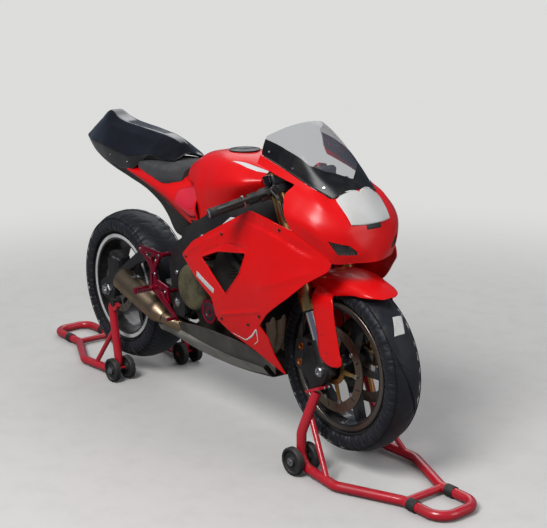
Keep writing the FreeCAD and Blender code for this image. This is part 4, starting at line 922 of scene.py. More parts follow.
    def patches(self, name: str, surface: Surface, u: Array, v: Array, lift: float, finish: str) -> list[Object]:
        """Thin pieces that lie on both sides of a surface.

        Args:
            name: what both are called before the side's word.
            surface: what they lie on.
            u: fractions along the right one, rows by columns.
            v: fractions around the right one, rows by columns.
            lift: how far their faces stand off the surface, millimetres.
            finish: a key of FINISHES.

        Returns:
            The right and the left object.
        """
        u = np.broadcast_to(u, v.shape)
        hands = (("right", u, v), ("left", u[::-1], (1 - v)[::-1]))
        return [self.grid(f"{name}_{word}", surface.lifted(along, around, lift * MM), finish, wall=FILM)
                for word, along, around in hands]

    def recast(self, node: str, width: float) -> None:
        """Stand a copy of a CAD node with rounded edges in its place.

        Args:
            node: the node's name.
            width: how far edges are rounded, millimetres.
        """
        source = frame["nodes"][node]
        form = bmesh.new()
        form.from_mesh(source.data)
        bmesh.ops.remove_doubles(form, verts=form.verts, dist=CAST_WELD)
        bmesh.ops.dissolve_limit(form, angle_limit=FLAT_ANGLE, verts=form.verts, edges=form.edges)
        data = bpy.data.meshes.new(f"{node}_cast")
        form.to_mesh(data)
        form.free()
        made = linked(f"{node}_cast", data)
        made.data.materials.append(self.shaders.material(NODE_FINISH[node]))
        edge = made.modifiers.new("edge", "BEVEL")
        edge.width, edge.segments = width * MM, 2
        edge.limit_method, edge.angle_limit = "ANGLE", BEVEL_ANGLE
        self.bake(made)
        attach(made, source["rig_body"])
        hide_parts(node)


# Bodywork

TANK = (
    (548, ((60, 920), (76, 934), (62, 962), (36, 972), (0, 975))),
    (600, ((92, 907), (114, 930), (94, 978), (56, 996), (0, 1000))),
    (650, ((112, 907), (130, 934), (108, 994), (66, 1022), (0, 1029))),
    (706, ((138, 792), (148, 925), (118, 1010), (72, 1038), (0, 1043))),
    (760, ((141, 822), (153, 935), (124, 1014), (76, 1044), (0, 1049))),
    (840, ((142, 854), (162, 950), (132, 1018), (80, 1045), (0, 1050))),
    (920, ((122, 884), (158, 960), (128, 1012), (76, 1036), (0, 1042))),
    (980, ((92, 902), (142, 965), (112, 1000), (66, 1018), (0, 1024))),
    (1036, ((42, 912), (96, 972), (76, 990), (40, 1000), (0, 1004))),
)
SEAT_BASE = (
    (124, ((96, 894), (102, 904), (92, 909), (66, 914))),
    (300, ((114, 863), (128, 887), (118, 906), (100, 921))),
    (470, ((126, 819), (142, 859), (126, 890), (104, 911))),
    (600, ((132, 771), (151, 828), (132, 872), (96, 904))),
    (655, ((137, 760), (153, 828), (136, 874), (112, 904))),
    (698, ((140, 784), (154, 838), (140, 878), (118, 904))),
)
SEAT_PAD = (
    (222, ((98, 916), (106, 926), (99, 948), (60, 953), (0, 954))),
    (330, ((116, 902), (131, 918), (122, 950), (68, 962), (0, 964))),
    (470, ((124, 892), (135, 908), (119, 944), (66, 964), (0, 968))),
    (530, ((94, 898), (102, 908), (84, 944), (46, 961), (0, 965))),
)
TAIL = (
    (-346, ((10, 974), (14, 983), (10, 989), (6, 993))),
    (-300, ((26, 961), (34, 986), (24, 1006), (10, 1016))),
    (-200, ((58, 938), (78, 986), (46, 1048), (18, 1074))),
    (-104, ((76, 917), (98, 986), (62, 1070), (28, 1116))),
    (-60, ((84, 909), (106, 985), (68, 1066), (30, 1098))),
    (0, ((90, 904), (111, 980), (70, 1058), (32, 1084))),
    (90, ((94, 898), (113, 970), (69, 1050), (30, 1075))),
    (170, ((100, 906), (114, 966), (68, 1045), (29, 1069))),
    (216, ((98, 934), (113, 972), (66, 1040), (27, 1065))),
    (258, ((92, 954), (110, 980), (64, 1036), (25, 1061))),
    (320, ((84, 962), (106, 988), (60, 1030), (22, 1054))),
    (396, ((78, 964), (94, 978), (50, 1008), (16, 1030))),
    (436, ((66, 967), (76, 973), (40, 982), (14, 992))),
)
# levels from the lower lip up to the screen; in each, x, half width and height from the rear to the front
NOSE = (
    ((1098, 206, 903), (1228, 206, 888), (1346, 203, 867), (1437, 165, 807), (1470, 137, 768), (1515, 70, 768),
     (1539, 0, 768)),
    ((1098, 208, 950), (1228, 210, 935), (1346, 206, 908), (1447, 177, 862), (1493, 128, 815), (1526, 72, 808),
     (1535, 0, 808)),
    ((1098, 196, 990), (1228, 196, 972), (1346, 192, 938), (1442, 172, 897), (1499, 122, 864), (1520, 68, 856),
     (1528, 0, 854)),
    ((1098, 172, 1036), (1228, 168, 1012), (1346, 162, 974), (1432, 149, 937), (1481, 112, 912), (1505, 62, 907),
     (1513, 0, 906)),
    ((1098, 156, 1060), (1228, 150, 1030), (1346, 142, 990), (1412, 134, 966), (1447, 106, 948), (1471, 54, 955),
     (1481, 0, 958)),
    ((1098, 144.5, 1084), (1228, 139, 1047), (1346, 127, 1005), (1392, 110, 985), (1422, 94, 971), (1444, 50, 988),
     (1451, 0, 996)),
)
SCREEN = (
    (1100, ((139, 1085), (131, 1120), (112, 1160), (78, 1196), (28, 1216), (0, 1219))),
    (1180, ((136, 1062), (128, 1096), (112, 1140), (76, 1180), (28, 1199), (0, 1202))),
    (1260, ((131, 1037), (123, 1064), (108, 1102), (70, 1138), (25, 1154), (0, 1157))),
    (1346, ((122, 1006), (114, 1022), (98, 1044), (62, 1064), (21, 1074), (0, 1075))),
)
# the screen's front edge: x, half width and height
SCREEN_FRONT = ((1425, 96, 973), (1433, 82, 981), (1440, 66, 987), (1447, 42, 993), (1451, 18, 998), (1452, 0, 999))
SCREEN_REAR = ((1000, 1000), (1096, 1060), (1104, 1147), (1196, 1196), (1205, 1300), (1000, 1300))
# the two troughs, from their upper edge down to the middle
BELLY = (
    (345, ((116, 298), (104, 268), (60, 246), (0, 246))),
    (600, ((152, 362), (142, 300), (88, 236), (0, 236))),
    (900, ((182, 392), (164, 318), (92, 238), (0, 238))),
    (1100, ((182, 384), (168, 330), (100, 262), (0, 258))),
    (1214, ((184, 353), (180, 324), (150, 300), (0, 300))),
)
# the room that the front wheel needs when it is steered, in plan
WHEEL_ROOM = ((1084, -112), (1106, -152), (1140, -174), (1165, -179), (1330, -179), (1330, 179), (1165, 179),
        (1140, 174), (1106, 152), (1084, 112))
UNDERTRAY = (
    (-344, ((10, 972), (8, 968), (0, 967))),
    (-200, ((58, 937), (50, 928), (0, 926))),
    (0, ((90, 903), (82, 887), (0, 885))),
    (114, ((95, 898), (90, 866), (0, 864))),
    (300, ((114, 861), (94, 822), (0, 820))),
    (380, ((118, 841), (96, 783), (0, 781))),
    (430, ((122, 830), (97, 738), (0, 735))),
    (470, ((125, 817), (98, 690), (0, 688))),
    (520, ((126, 799), (100, 684), (0, 682))),
    (596, ((129, 771), (102, 738), (0, 736))),
)
BAR_NOTCH = ((1040, 830), (1040, 1068), (1150, 1043), (1295, 1007), (1279, 979), (1304, 931), (1340, 866),
        (1350, 830))
SIDE_OUTLINE = ((699, 669), (777, 733), (941, 815), (1064, 876), (1112, 900), (1166, 895), (1232, 888),
        (1346, 867), (1437, 808), (1476, 769), (1470, 744), (1404, 698), (1339, 638), (1229, 558),
        (1183, 512), (1176, 500), (924, 466), (912, 480), (906, 546), (794, 603))
SIDE_HOLE = ((844, 689), (954, 731), (1118, 754), (1087, 673), (998, 579))
LOWER_OUTLINE = ((916, 466), (1176, 500), (1212, 466), (1225, 400), (1257, 333), (1118, 392), (995, 426))
FLANK_X = np.array([650.0, 900.0, 1120.0, 1330.0, 1545.0])
FLANK_Z = np.array([320.0, 480.0, 640.0, 800.0, 910.0])
FLANK_HALF = np.array([[148, 194, 213, 210, 196], [164, 220, 236, 222, 206], [174, 216, 236, 222, 206],
        [156, 204, 226, 214, 203], [100, 118, 122, 104, 96]], dtype=float)


@dataclass(frozen=True)
class Crease:
    """A straight step or ridge in the side panels, millimetres.

    Args:
        start: x and z.
        stop: x and z.
        height: how far it stands out, negative for a step inwards.
        above: reach of its upper slope.
        below: reach of its lower slope.
    """
    start: tuple[float, float]
    stop: tuple[float, float]
    height: float
    above: float
    below: float


CREASES = (
    Crease((1010, 835), (1118, 866), 5.0, 5.0, 16.0),
    Crease((1090, 858), (1225, 851), -5.0, 34.0, 4.0),
    Crease((1205, 853), (1320, 829), -7.0, 34.0, 4.0),
    Crease((1300, 834), (1430, 782), -6.0, 26.0, 4.0),
    Crease((716, 676), (866, 752), 4.0, 5.0, 12.0),
    Crease((850, 746), (1000, 812), 4.0, 5.0, 14.0),
    Crease((848, 706), (985, 764), -5.0, 4.0, 16.0),
    Crease((975, 764), (1125, 772), -5.0, 4.0, 16.0),
    Crease((930, 486), (1205, 560), 4.0, 12.0, 4.0),
    Crease((1180, 640), (1440, 738), 3.0, 30.0, 18.0),
)
FLANK_CELLS = 80
# how far from each end a crease fades, millimetres
CREASE_END = 40
FILM = 0.3 * MM
# fractions round and up the nose
INTAKE = ((0.350, 0.258), (0.413, 0.310), (0.439, 0.221), (0.437, 0.160), (0.388, 0.150))
LABEL = ((812, 629), (930, 585), (922, 566), (806, 608))
ZIGZAG = ((1001, 431), (1075, 422), (1117, 448), (1152, 483), (1148, 436), (1120, 417))
PANEL_BOLTS = ((971, 795), (952, 478), (1109, 491), (1290, 862), (1186, 540), (730, 668))


def flank(x: Array, z: Array) -> Array:
    """The half width of the side bodywork in metres, with its raised creases.

    Args:
        x: ahead of the rear axle, millimetres.
        z: above the floor, millimetres.

    Returns:
        Half widths, the shape of x.
    """
    held = np.stack(np.broadcast_arrays(FLANK_X[:, None], FLANK_Z[None], FLANK_HALF), axis=-1)
    fine = smooth_rows(smooth_rows(held, FLANK_CELLS, axis=0), FLANK_CELLS, axis=1)
    i = np.clip(np.searchsorted(fine[:, 0, 0], x) - 1, 0, FLANK_CELLS - 2)
    j = np.clip(np.searchsorted(fine[0, :, 1], z) - 1, 0, FLANK_CELLS - 2)
    s = (x - fine[i, 0, 0]) / (fine[i + 1, 0, 0] - fine[i, 0, 0])
    t = (z - fine[0, j, 1]) / (fine[0, j + 1, 1] - fine[0, j, 1])
    half = blend((fine[i, j, 2], fine[i + 1, j, 2], fine[i, j + 1, 2], fine[i + 1, j + 1, 2]), s, t)
    for crease in CREASES:
        (x1, z1), (x2, z2) = crease.start, crease.stop
        run = math.hypot(x2 - x1, z2 - z1)
        along = ((x - x1) * (x2 - x1) + (z - z1) * (z2 - z1)) / run
        above = ((z - z1) * (x2 - x1) - (x - x1) * (z2 - z1)) / run
        ends = np.clip(along / CREASE_END, 0, 1) * np.clip((run - along) / CREASE_END, 0, 1)
        slope = np.where(above > 0, 1 - above / crease.above, 1 + above / crease.below)
        half = half + crease.height * ends * np.clip(slope, 0, 1)
    return half * MM


def on_flank(x: Array, z: Array, side: int, lift: float = 0.0) -> Array:
    """Points in metres on one side's bodywork, from x, z and the height off it in millimetres."""
    return np.stack([REAR_AXLE[0] + x * MM, side * (flank(x, z) + lift * MM), z * MM], axis=-1)


@dataclass
class Bodywork:
    """The painted panels, the screen and the seat.

    Args:
        shop: where pieces are made.
        sheet: thickness of the moulded panels, metres.
        reach: how far cutters go to each side, metres.
        inner: where cutters of one side start, metres.
        duct: how far the cutter, the rim, the floor and the back of an intake's duct lie in, metres.
        slats: how many each intake has.
        slat_radius: millimetres.
        wheel_room: the heights between which the belly is cut for the wheel, metres.
        nose_skin: the upper fairing's surface, made first.
    """
    shop: Workshop
    sheet: float = 4 * MM
    reach: float = 0.3
    inner: float = 0.1
    duct: tuple[float, ...] = (0.03, 0.003, 0.02, 0.022)
    slats: int = 6
    slat_radius: float = 1.7
    wheel_room: tuple[float, float] = (0.2, 0.45)
    nose_skin: Surface = field(init=False)

    def build(self) -> None:
        """Make every panel."""
        self.nose_skin = self.nose_surface()
        self.tank()
        self.seat()
        self.tail()
        self.nose()
        self.screen()
        self.board()
        self.sides()
        self.belly()

    @staticmethod
    def nose_surface() -> Surface:
        """The upper fairing, from its right rear edge round the front to its left one, and upwards."""
        half = np.array([[place(x, -wide, z) for x, wide, z in level] for level in NOSE])
        return Surface(smooth_both(mirrored(half).transpose(1, 0, 2), 180, 84))

    def tank(self) -> None:
        """The fuel tank, its cap and its white line."""
        shop, skin = self.shop, Surface.smooth(TANK, 90, 90)
        shop.grid("tank_shell", skin.grid, "red_paint", ["fuel_tank"], tubular=True, capped=True)
        u = np.linspace(0.685, 1.0, 40)[:, None]
        middle = np.interp(u, [0.685, 0.78, 0.88, 1.0], [0.32, 0.333, 0.343, 0.35])
        half = np.interp(u, [0.685, 0.72, 0.82, 0.92, 1.0], [0.001, 0.007, 0.02, 0.023, 0.014])
        shop.patches("tank_line", skin, u, middle + half * np.linspace(-1, 1, 5)[None], 0.5, "white_line")
        low, high = (np.array(corner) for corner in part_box("filler_cap"))
        foot = np.array([*(low + high)[:2] / 2, high[2] - 3 * MM])
        shop.turnings("cap_lid", foot, UP, ((37, -2), (37, 2.5), (35, 3.2), (24, 3.2), (22, 2.4), (3, 2.4)), "cap",
                sides=48)
        ring = foot + np.stack([np.cos(turns(7)) * 49, np.sin(turns(7)) * 49, np.full(7, -1.5)], axis=1) * MM
        shop.bolts("cap_bolts", ring, UP, 3.4)

    def seat(self) -> None:
        """The panel below the seat, the films on its sides and the foam pad."""
        shop, skin = self.shop, Surface.smooth(SEAT_BASE, 70, 60)
        shop.grid("seat_panel", skin.grid, "red_paint", ["seat_base"], wall=self.sheet)
        ends = (0.74, 0.985)
        u = np.linspace(*ends, 24)[:, None]
        low, high = np.interp(u, ends, (0.1, 0.03)), np.interp(u, ends, (0.2, 0.33))
        shop.patches("seat_film", skin, u, low + (high - low) * np.linspace(0, 1, 12)[None], 0.4, "red_film")
        along, around = 60, 64
        points = Surface.creased(SEAT_PAD, along, around, 3).grid.copy()
        swell = np.sin(np.linspace(0, math.pi, along))[:, None] * np.sin(np.linspace(0, math.pi, around))[None]
        points[..., 2] += 2 * MM * np.sqrt(np.clip(swell, 0, 1))
        pad = shop.grid("seat_foam", points, "foam", ["seat_pad"], tubular=True, capped=True)

    def tail(self) -> None:
        """The tail cowl with its bolts and the tray below it."""
        shop, skin = self.shop, Surface.creased(TAIL, 120, 96)
        shop.grid("tail_shell", skin.grid, "black_gloss", ["tail_cowl"], wall=self.sheet)
        tray = Surface.creased(UNDERTRAY, 110, 40, 3).grid[:, ::-1]
        shop.grid("tray_shell", tray, "grey_matt", ["undertray"], wall=self.sheet)
        spots = (np.array([0.44, 0.62]), np.full(2, 0.07))
        shop.bolts("tail_bolts", skin.at(*spots), skin.out(*spots), 4.0)

    def nose(self) -> None:
        """The upper fairing, its notches for the bars and its intakes."""
        shop = self.shop
        shell = shop.grid("nose_shell", self.nose_skin.grid, "red_paint", ["upper_fairing"], wall=self.sheet)
        notch = rounded(BAR_NOTCH, 12)
        cuts = [shop.prism(notch, -self.reach, -0.09), shop.prism(notch, 0.09, self.reach)]
        for side, _ in SIDES:
            rim, way = self.intake_rim(side)
            cuts.append(shop.cutter(rim + way * self.duct[0], rim - way * self.duct[0]))
        shop.carve(shell, cuts)
        for side, word in SIDES:
            self.intake(side, word)

    def intake_rim(self, side: int) -> tuple[Array, Array]:
        """The edge of one air intake on the nose and the way out of it.

        Args:
            side: -1 for the right, 1 for the left.

        Returns:
            The edge, n by 3, metres, and a unit vector.
        """
        around, level = np.array(INTAKE).T
        around = around if side < 0 else 1 - around
        return self.nose_skin.at(around, level), unit(self.nose_skin.out(around, level).mean(axis=0))

    def intake(self, side: int, word: str) -> None:
        """The dark duct behind one air intake, with its slats.

        Args:
            side: -1 for the right, 1 for the left.
            word: the side's word.
        """
        rim, way = self.intake_rim(side)
        middle = rim.mean(axis=0)
        wide, narrow = (middle + (rim - middle) * scale for scale in (1.05, 0.85))
        _, lip, floor, back = self.duct
        ring = np.stack([wide - way * lip, narrow - way * floor, narrow - way * back])
        self.shop.grid(f"intake_duct_{word}", ring, "controls", tubular=True, capped=True)
        for number in range(1, self.slats + 1):
            t = number / (self.slats + 1)
            top = rim[0] * (1 - t) + rim[1] * t if number < self.slats - 1 else rim[1]
            foot = rim[4] * (1 - t) + rim[3] * t
            line = np.array([top - way * lip, (top + foot) / 2 - way * 2 * lip, foot - way * lip])
            self.shop.tube(f"intake_slat_{word}_{number}", line, self.slat_radius, "grey_metal", sides=8, along=12)

    def screen(self) -> None:
        """The clear windscreen with its black band, its edges and its bolts."""
        shop = self.shop
        front = np.array([[place(x, -wide, z) for x, wide, z in SCREEN_FRONT]])
        skin = Surface(smooth_both(mirrored(np.concatenate([half_sections(SCREEN), front])), 80, 90))
        bubble = shop.grid("screen_bubble", skin.grid, "screen", ["windscreen"], wall=2.5 * MM)
        u = np.linspace(0.0, 1.0, 90)[:, None]
        reach = np.interp(u, [0.0, 0.3, 0.6, 0.74, 0.84, 0.9, 1.0], [0.12, 0.14, 0.185, 0.27, 0.4, 0.5, 0.5])
        bands = shop.patches("screen_band", skin, u, reach * np.linspace(0, 1, 24)[None], 0.5, "screen_band")
        for cut in (bubble, *bands):
            shop.carve(cut, [shop.prism(rounded(SCREEN_REAR, 2), -self.reach, self.reach)])
        u = np.linspace(0.03, 0.97, 60)
        for side, word in SIDES:
            edge = skin.at(u, np.full(60, float(side > 0)))
            shop.tube(f"screen_edge_{word}", edge, 2.6, "grip", sides=10, along=80)
        across = np.array([0.05, 0.045, 0.08])
        spots = (np.tile([0.09, 0.42, 0.84], 2), np.concatenate([across, 1 - across]))
        shop.bolts("screen_bolts", skin.at(*spots), skin.out(*spots), 4.4)

    def board(self) -> None:
        """The blank number board bent round the nose, two humps on top, and painted shade for the slot below it."""
        skin = self.nose_skin
        across = np.linspace(-1, 1, 70)[:, None]
        down = np.linspace(1, 0, 24)[None]
        hump = 0.055 * np.abs(np.sin((across + 0.1) * math.pi)) ** 0.7 * (1 - across ** 8)
        around = 0.5 + across * (0.082 + 0.022 * down)
        level = 0.6 + 0.37 * down + hump * down
        spots = (around, np.clip(level, 0, 1.0))
        over = np.clip(level - 1.0, 0, 1)[..., None] * np.array([-0.16, 0.0, 0.22])
        curl = (2.6 + 1.6 * np.sin(across * 5.0 + down * 2.0) * (1 - down)) * MM
        points = skin.at(*spots) + skin.out(*spots) * curl[..., None] + over
        self.shop.grid("number_sheet", points[:, ::-1], "white_board", ["number_board"], wall=1.0 * MM)
        # the slot is not cut: a black film on the nose paints the shade of its opening
        u, v = np.meshgrid(np.linspace(0.472, 0.528, 20), np.linspace(0.525, 0.64, 8), indexing="ij")
        self.shop.grid("nose_slot_painted_shade", skin.lifted(u, v, 0.6 * MM), "controls", wall=FILM)

    def sides(self) -> None:
        """The side and lower panels on both sides, with what lies on them."""
        shop = self.shop
        grid_x, grid_z = np.meshgrid(np.linspace(652, 1543, 130), np.linspace(322, 908, 96), indexing="ij")
        hole = rounded(SIDE_HOLE, 12)
        for side, word in SIDES:
            points = on_flank(grid_x, grid_z, side)[::-side]
            low, high = sorted((side * self.inner, side * self.reach))
            for name, outline, radius, node in (("side_panel", SIDE_OUTLINE, 14, f"side_fairing_{word}"),
                    ("lower_panel", LOWER_OUTLINE, 6, "lower_fairings")):
                panel = shop.grid(f"{name}_{word}", points, "red_paint", [node], wall=self.sheet)
                cuts = [shop.prism(hole, low, high)] if name == "side_panel" else []
                shop.carve(panel, cuts, shop.prism(rounded(outline, radius), low, high))
            self.side_trim(side, word)
            lip = on_flank((hole[:, 0] - REAR_AXLE[0]) / MM, hole[:, 1] / MM, side, -0.6)
            shop.tube(f"hole_lip_{word}", lip, 3.0, "red_paint", sides=10, looped=True)

    def side_trim(self, side: int, word: str) -> None:
        """The bolts, the blank label and the white line on one side.

        Args:
            side: -1 for the right, 1 for the left.
            word: the side's word.
        """
        shop = self.shop
        spots = np.array(PANEL_BOLTS, dtype=float).T
        shop.bolts(f"panel_bolts_{word}", on_flank(*spots, side), (0, side, 0), 5.5, finish="controls")
        corners = np.array(LABEL, dtype=float)
        s, t = np.linspace(0, 1, 16)[:, None, None], np.linspace(0, 1, 6)[None, :, None]
        flat = (corners[0] * (1 - s) + corners[1] * s) * (1 - t) + (corners[3] * (1 - s) + corners[2] * s) * t
        line = creased_rows(np.array(ZIGZAG, dtype=float), 80, 1)
        ahead = unit(np.gradient(line, axis=0))
        across = np.stack([-ahead[:, 1], ahead[:, 0]], axis=1)
        width = np.interp(np.linspace(0, 1, 80), [0, 0.5, 1], [1.0, 3.5, 1.0])[:, None]
        strip = np.stack([line - across * width, line, line + across * width], axis=1)
        for name, sheet, finish in (("side_label", flat, "patch"), ("side_line", strip, "white_line")):
            points = on_flank(sheet[..., 0], sheet[..., 1], side, 0.5)[::-side]
            shop.grid(f"{name}_{word}", points, finish, wall=FILM)

    def belly(self) -> None:
        """The belly pan with painted bounce light in pale bands, open for the exhaust and the front wheel."""
        shop = self.shop
        skin = Surface(Surface.creased(BELLY, 120, 90, 3).grid[:, ::-1])
        pan = shop.grid("belly_shell", skin.grid, "pan_worn", ["belly_pan"], wall=self.sheet)
        u = np.linspace(0.0, 0.995, 90)[:, None]
        low = np.interp(u, [0.0, 0.4, 0.8, 1.0], [0.28, 0.27, 0.25, 0.22])
        high = np.interp(u, [0.0, 0.1, 0.4, 0.75, 1.0], [0.03, 0.035, 0.1, 0.15, 0.16])
        v = 1 - (low + (high - low) * np.linspace(0, 1, 16)[None])
        # the pale bands on the downward facets are painted bounce light, not a colour of the pan
        for piece in (pan, *shop.patches("belly_painted_bounce", skin, u, v, 0.6, "pan_painted_bounce")):
            shop.carve(piece, [shop.prism(rounded(WHEEL_ROOM, 10), *self.wheel_room, upright=True)])


@dataclass(frozen=True)
class WarmerSize:
    """One tyre warmer, sizes in millimetres.

    Args:
        word: which wheel.
        axle: the wheel's centre, metres.
        profile: radius and half width from the hem to the crown.
        pleats: gathers round each side.
        seed: start of the folds' chance.
        body: what it rides on.
        cord: radius and half width of the seam.
        flap: the closing flap's edge: its first and last angle, then angles and widths along it.
    """
    word: str
    axle: Array
    profile: tuple[tuple[float, float], ...]
    pleats: int
    seed: int
    body: str
    cord: tuple[float, float]
    flap: tuple[tuple[float, ...], ...]


WARMERS = (
    WarmerSize("front", FRONT_AXLE, ((240, 56), (250, 63.5), (264, 67), (277, 65), (291, 54), (300, 38),
        (305, 18), (306, 0)), 74, 5, FRONT_WHEEL, (292, 53.5),
        ((76, -22), (76, 52, 27, 12, -3, -22), (-52, -56, -52, -32, 0, 44))),
    WarmerSize("rear", REAR_AXLE, ((240, 84), (250, 92), (264, 96.5), (276, 95), (293, 84), (308, 62),
        (318, 32), (322, 0)), 82, 11, REAR_WHEEL, (294, 84),
        ((150, 60), (150, 130, 110, 95, 80, 60), (-76, -74, -60, -20, 30, 72))),
)


@dataclass
class Warmers:
    """The padded cloth covers on both tyres.

    Args:
        shop: where pieces are made.
        around: points round a cover.
        across: points from a hem to the crown.
        wall: thickness of the quilted cloth, millimetres.
        sink: how far folds go in at most, millimetres.
        swell: how far they stand out at most, millimetres.
        heights: of the hem's gathers, the wide folds, the folds across them and the creases, millimetres.
        hem: radius of the elastic hem, millimetres.
        seam: radius of the seam's cord, millimetres.
        edge: radius of the flap's cord, millimetres.
    """
    shop: Workshop
    around: int = 900
    across: int = 32
    wall: float = 5.8
    sink: float = 5.4
    swell: float = 2.6
    heights: tuple[float, ...] = (4.4, 3.6, 1.3, 1.6)
    hem: float = 4.2
    seam: float = 1.7
    edge: float = 1.8

    def build(self) -> None:
        """Make both covers."""
        for size in WARMERS:
            self.cover(size)
            self.trim(size)

    @staticmethod
    def chance(turn: Array, low: int, high: int, rng: np.random.Generator) -> Array:
        """A smooth random wave round the wheel.

        Args:
            turn: angles round the wheel.
            low: the fewest waves in a turn.
            high: the most waves in a turn.
            rng: where the chance comes from.

        Returns:
            A column of heights, about -1 to 1.
        """
        waves = np.arange(low, high + 1)
        start = rng.uniform(0, 2 * math.pi, len(waves))
        size = rng.uniform(0.5, 1.0, len(waves))
        return ((np.sin(turn[:, None] * waves + start) * size).sum(axis=1) / math.sqrt(len(waves)))[:, None]

    def folds(self, turn: Array, across: Array, pleats: int, seed: int) -> Array:
        """How far the cloth stands out of its smooth shape, in millimetres.

        Args:
            turn: angles round the wheel.
            across: 0 at the hem to 1 at the middle of the tread.
            pleats: gathers round the side.
            seed: start of the folds' chance.

        Returns:
            Angles by places across.
        """
        rng = np.random.default_rng(seed)
        half_turn, rise = turn[:, None] / 2, across[None]
        drift = self.chance(turn, 2, 9, rng) * 1.1 + self.chance(turn, 11, 25, rng) * 0.35
        lean = self.chance(turn, 2, 7, rng) * rise * 2.6
        phase = pleats * half_turn + drift * 1.3 + lean
        puffs = np.abs(np.sin(phase)) ** 0.75 - 1
        halves = np.abs(np.sin(phase / 2 + 0.4 + lean * 0.6)) ** 0.8 - 1
        wander = self.chance(turn, 3, 12, rng)
        cross = np.abs(np.sin(round(pleats * 0.35) * half_turn + wander + rise * 7.0)) ** 0.7 - 1
        reach = 0.4 + 0.13 * self.chance(turn, 6, 44, rng)
        gather = 1 / (1 + np.exp((rise - reach) / 0.05))
        far_reach = 0.62 + 0.14 * self.chance(turn, 4, 20, rng)
        middle = 1 / (1 + np.exp((rise - far_reach) / 0.06))
        vary = np.clip(0.8 + 0.25 * self.chance(turn, 3, 30, rng), 0.35, 1.25)
        tread = self.chance(turn, 5, 16, rng) * (0.3 + 0.6 * rise)
        crease = np.exp(-((np.sin(phase / 4 + rise * 3.0)) / 0.16) ** 2) * np.clip((rise - 0.3) / 0.3, 0, 1)
        hem = 1 - np.exp(-(rise / 0.02) ** 2)
        high, wide, low, dent = self.heights
        stand = high * gather * puffs + wide * middle * halves + low * cross - dent * crease
        return hem * np.clip(stand * vary + 1.4 + tread, -self.sink, self.swell)

    def cover(self, size: WarmerSize) -> None:
        """One cover: pleated outside, smooth where it lies on the tyre.

        Args:
            size: the cover.
        """
        path = smooth_rows(np.array(size.profile), self.across)
        whole = np.concatenate([path * np.array([1.0, -1.0]), path[::-1][1:]])
        ahead = unit(np.gradient(whole, axis=0))
        out = np.stack([ahead[:, 1], -ahead[:, 0]], axis=1)
        turn = -turns(self.around)
        rise = np.linspace(0, 1, self.across)
        sides = [self.folds(turn, rise, size.pleats, size.seed + add) for add in (0, 1)]
        share = np.clip((rise - 0.8) / 0.2, 0, 1)
        middle = (sides[0][:, -1:] + sides[1][:, -1:]) / 2
        sides = [side * (1 - share) + middle * share for side in sides]
        stand = np.concatenate([sides[0], sides[1][:, ::-1][:, 1:]], axis=1)
        outer = whole[None] + out[None] * stand[..., None]
        lining = smooth_rows((whole - out * self.wall)[::-1], 14)
        ring = np.concatenate([outer, np.broadcast_to(lining[None], (self.around, *lining.shape))], axis=1)
        points = circled(size.axle, turn[:, None], ring[..., 0], ring[..., 1])
        cover = self.shop.grid(f"{size.word}_cover", points, "warmer", [f"{size.word}_warmer"], size.body,
                looped=True, tubular=True)

    def trim(self, size: WarmerSize) -> None:
        """The elastic hems, the seam and flap cords and the blank patch of one cover.

        Args:
            size: the cover.
        """
        shop = self.shop
        hem_r, hem_y = size.profile[0]
        seam_r, seam_y = size.cord
        for side, word in SIDES:
            for name, radius, half, thick in (("hem", hem_r + 1, hem_y - 2, self.hem),
                    ("seam", seam_r + 1.5, seam_y + 1.5, self.seam)):
                line = circled(size.axle, -turns(240), radius, side * half)
                shop.tube(f"{size.word}_{name}_{word}", line, thick, "warmer_trim", size.body, 10, looped=True)
        radii, halves = np.array(size.profile[::-1], dtype=float).T
        ends, angles, widths = size.flap
        turn = np.radians(np.linspace(*ends, 80))
        half = np.interp(turn, np.radians(angles[::-1]), widths[::-1])
        edge = circled(size.axle, turn, np.interp(np.abs(half), halves, radii) + 1.6, half)
        shop.tube(f"{size.word}_flap", edge, self.edge, "warmer_trim", size.body, 10, 120)
        if size.word == "front":
            turn = np.radians(np.linspace(45, 33, 24))[:, None]
            half = np.interp(turn, np.radians([33, 45]), [-30, -4]) + np.linspace(0, 44, 12)[None]
            sheet = circled(size.axle, turn, np.interp(np.abs(half), halves, radii) + 3.0, half)
            shop.grid("front_patch", sheet, "patch", (), size.body, wall=0.8 * MM)


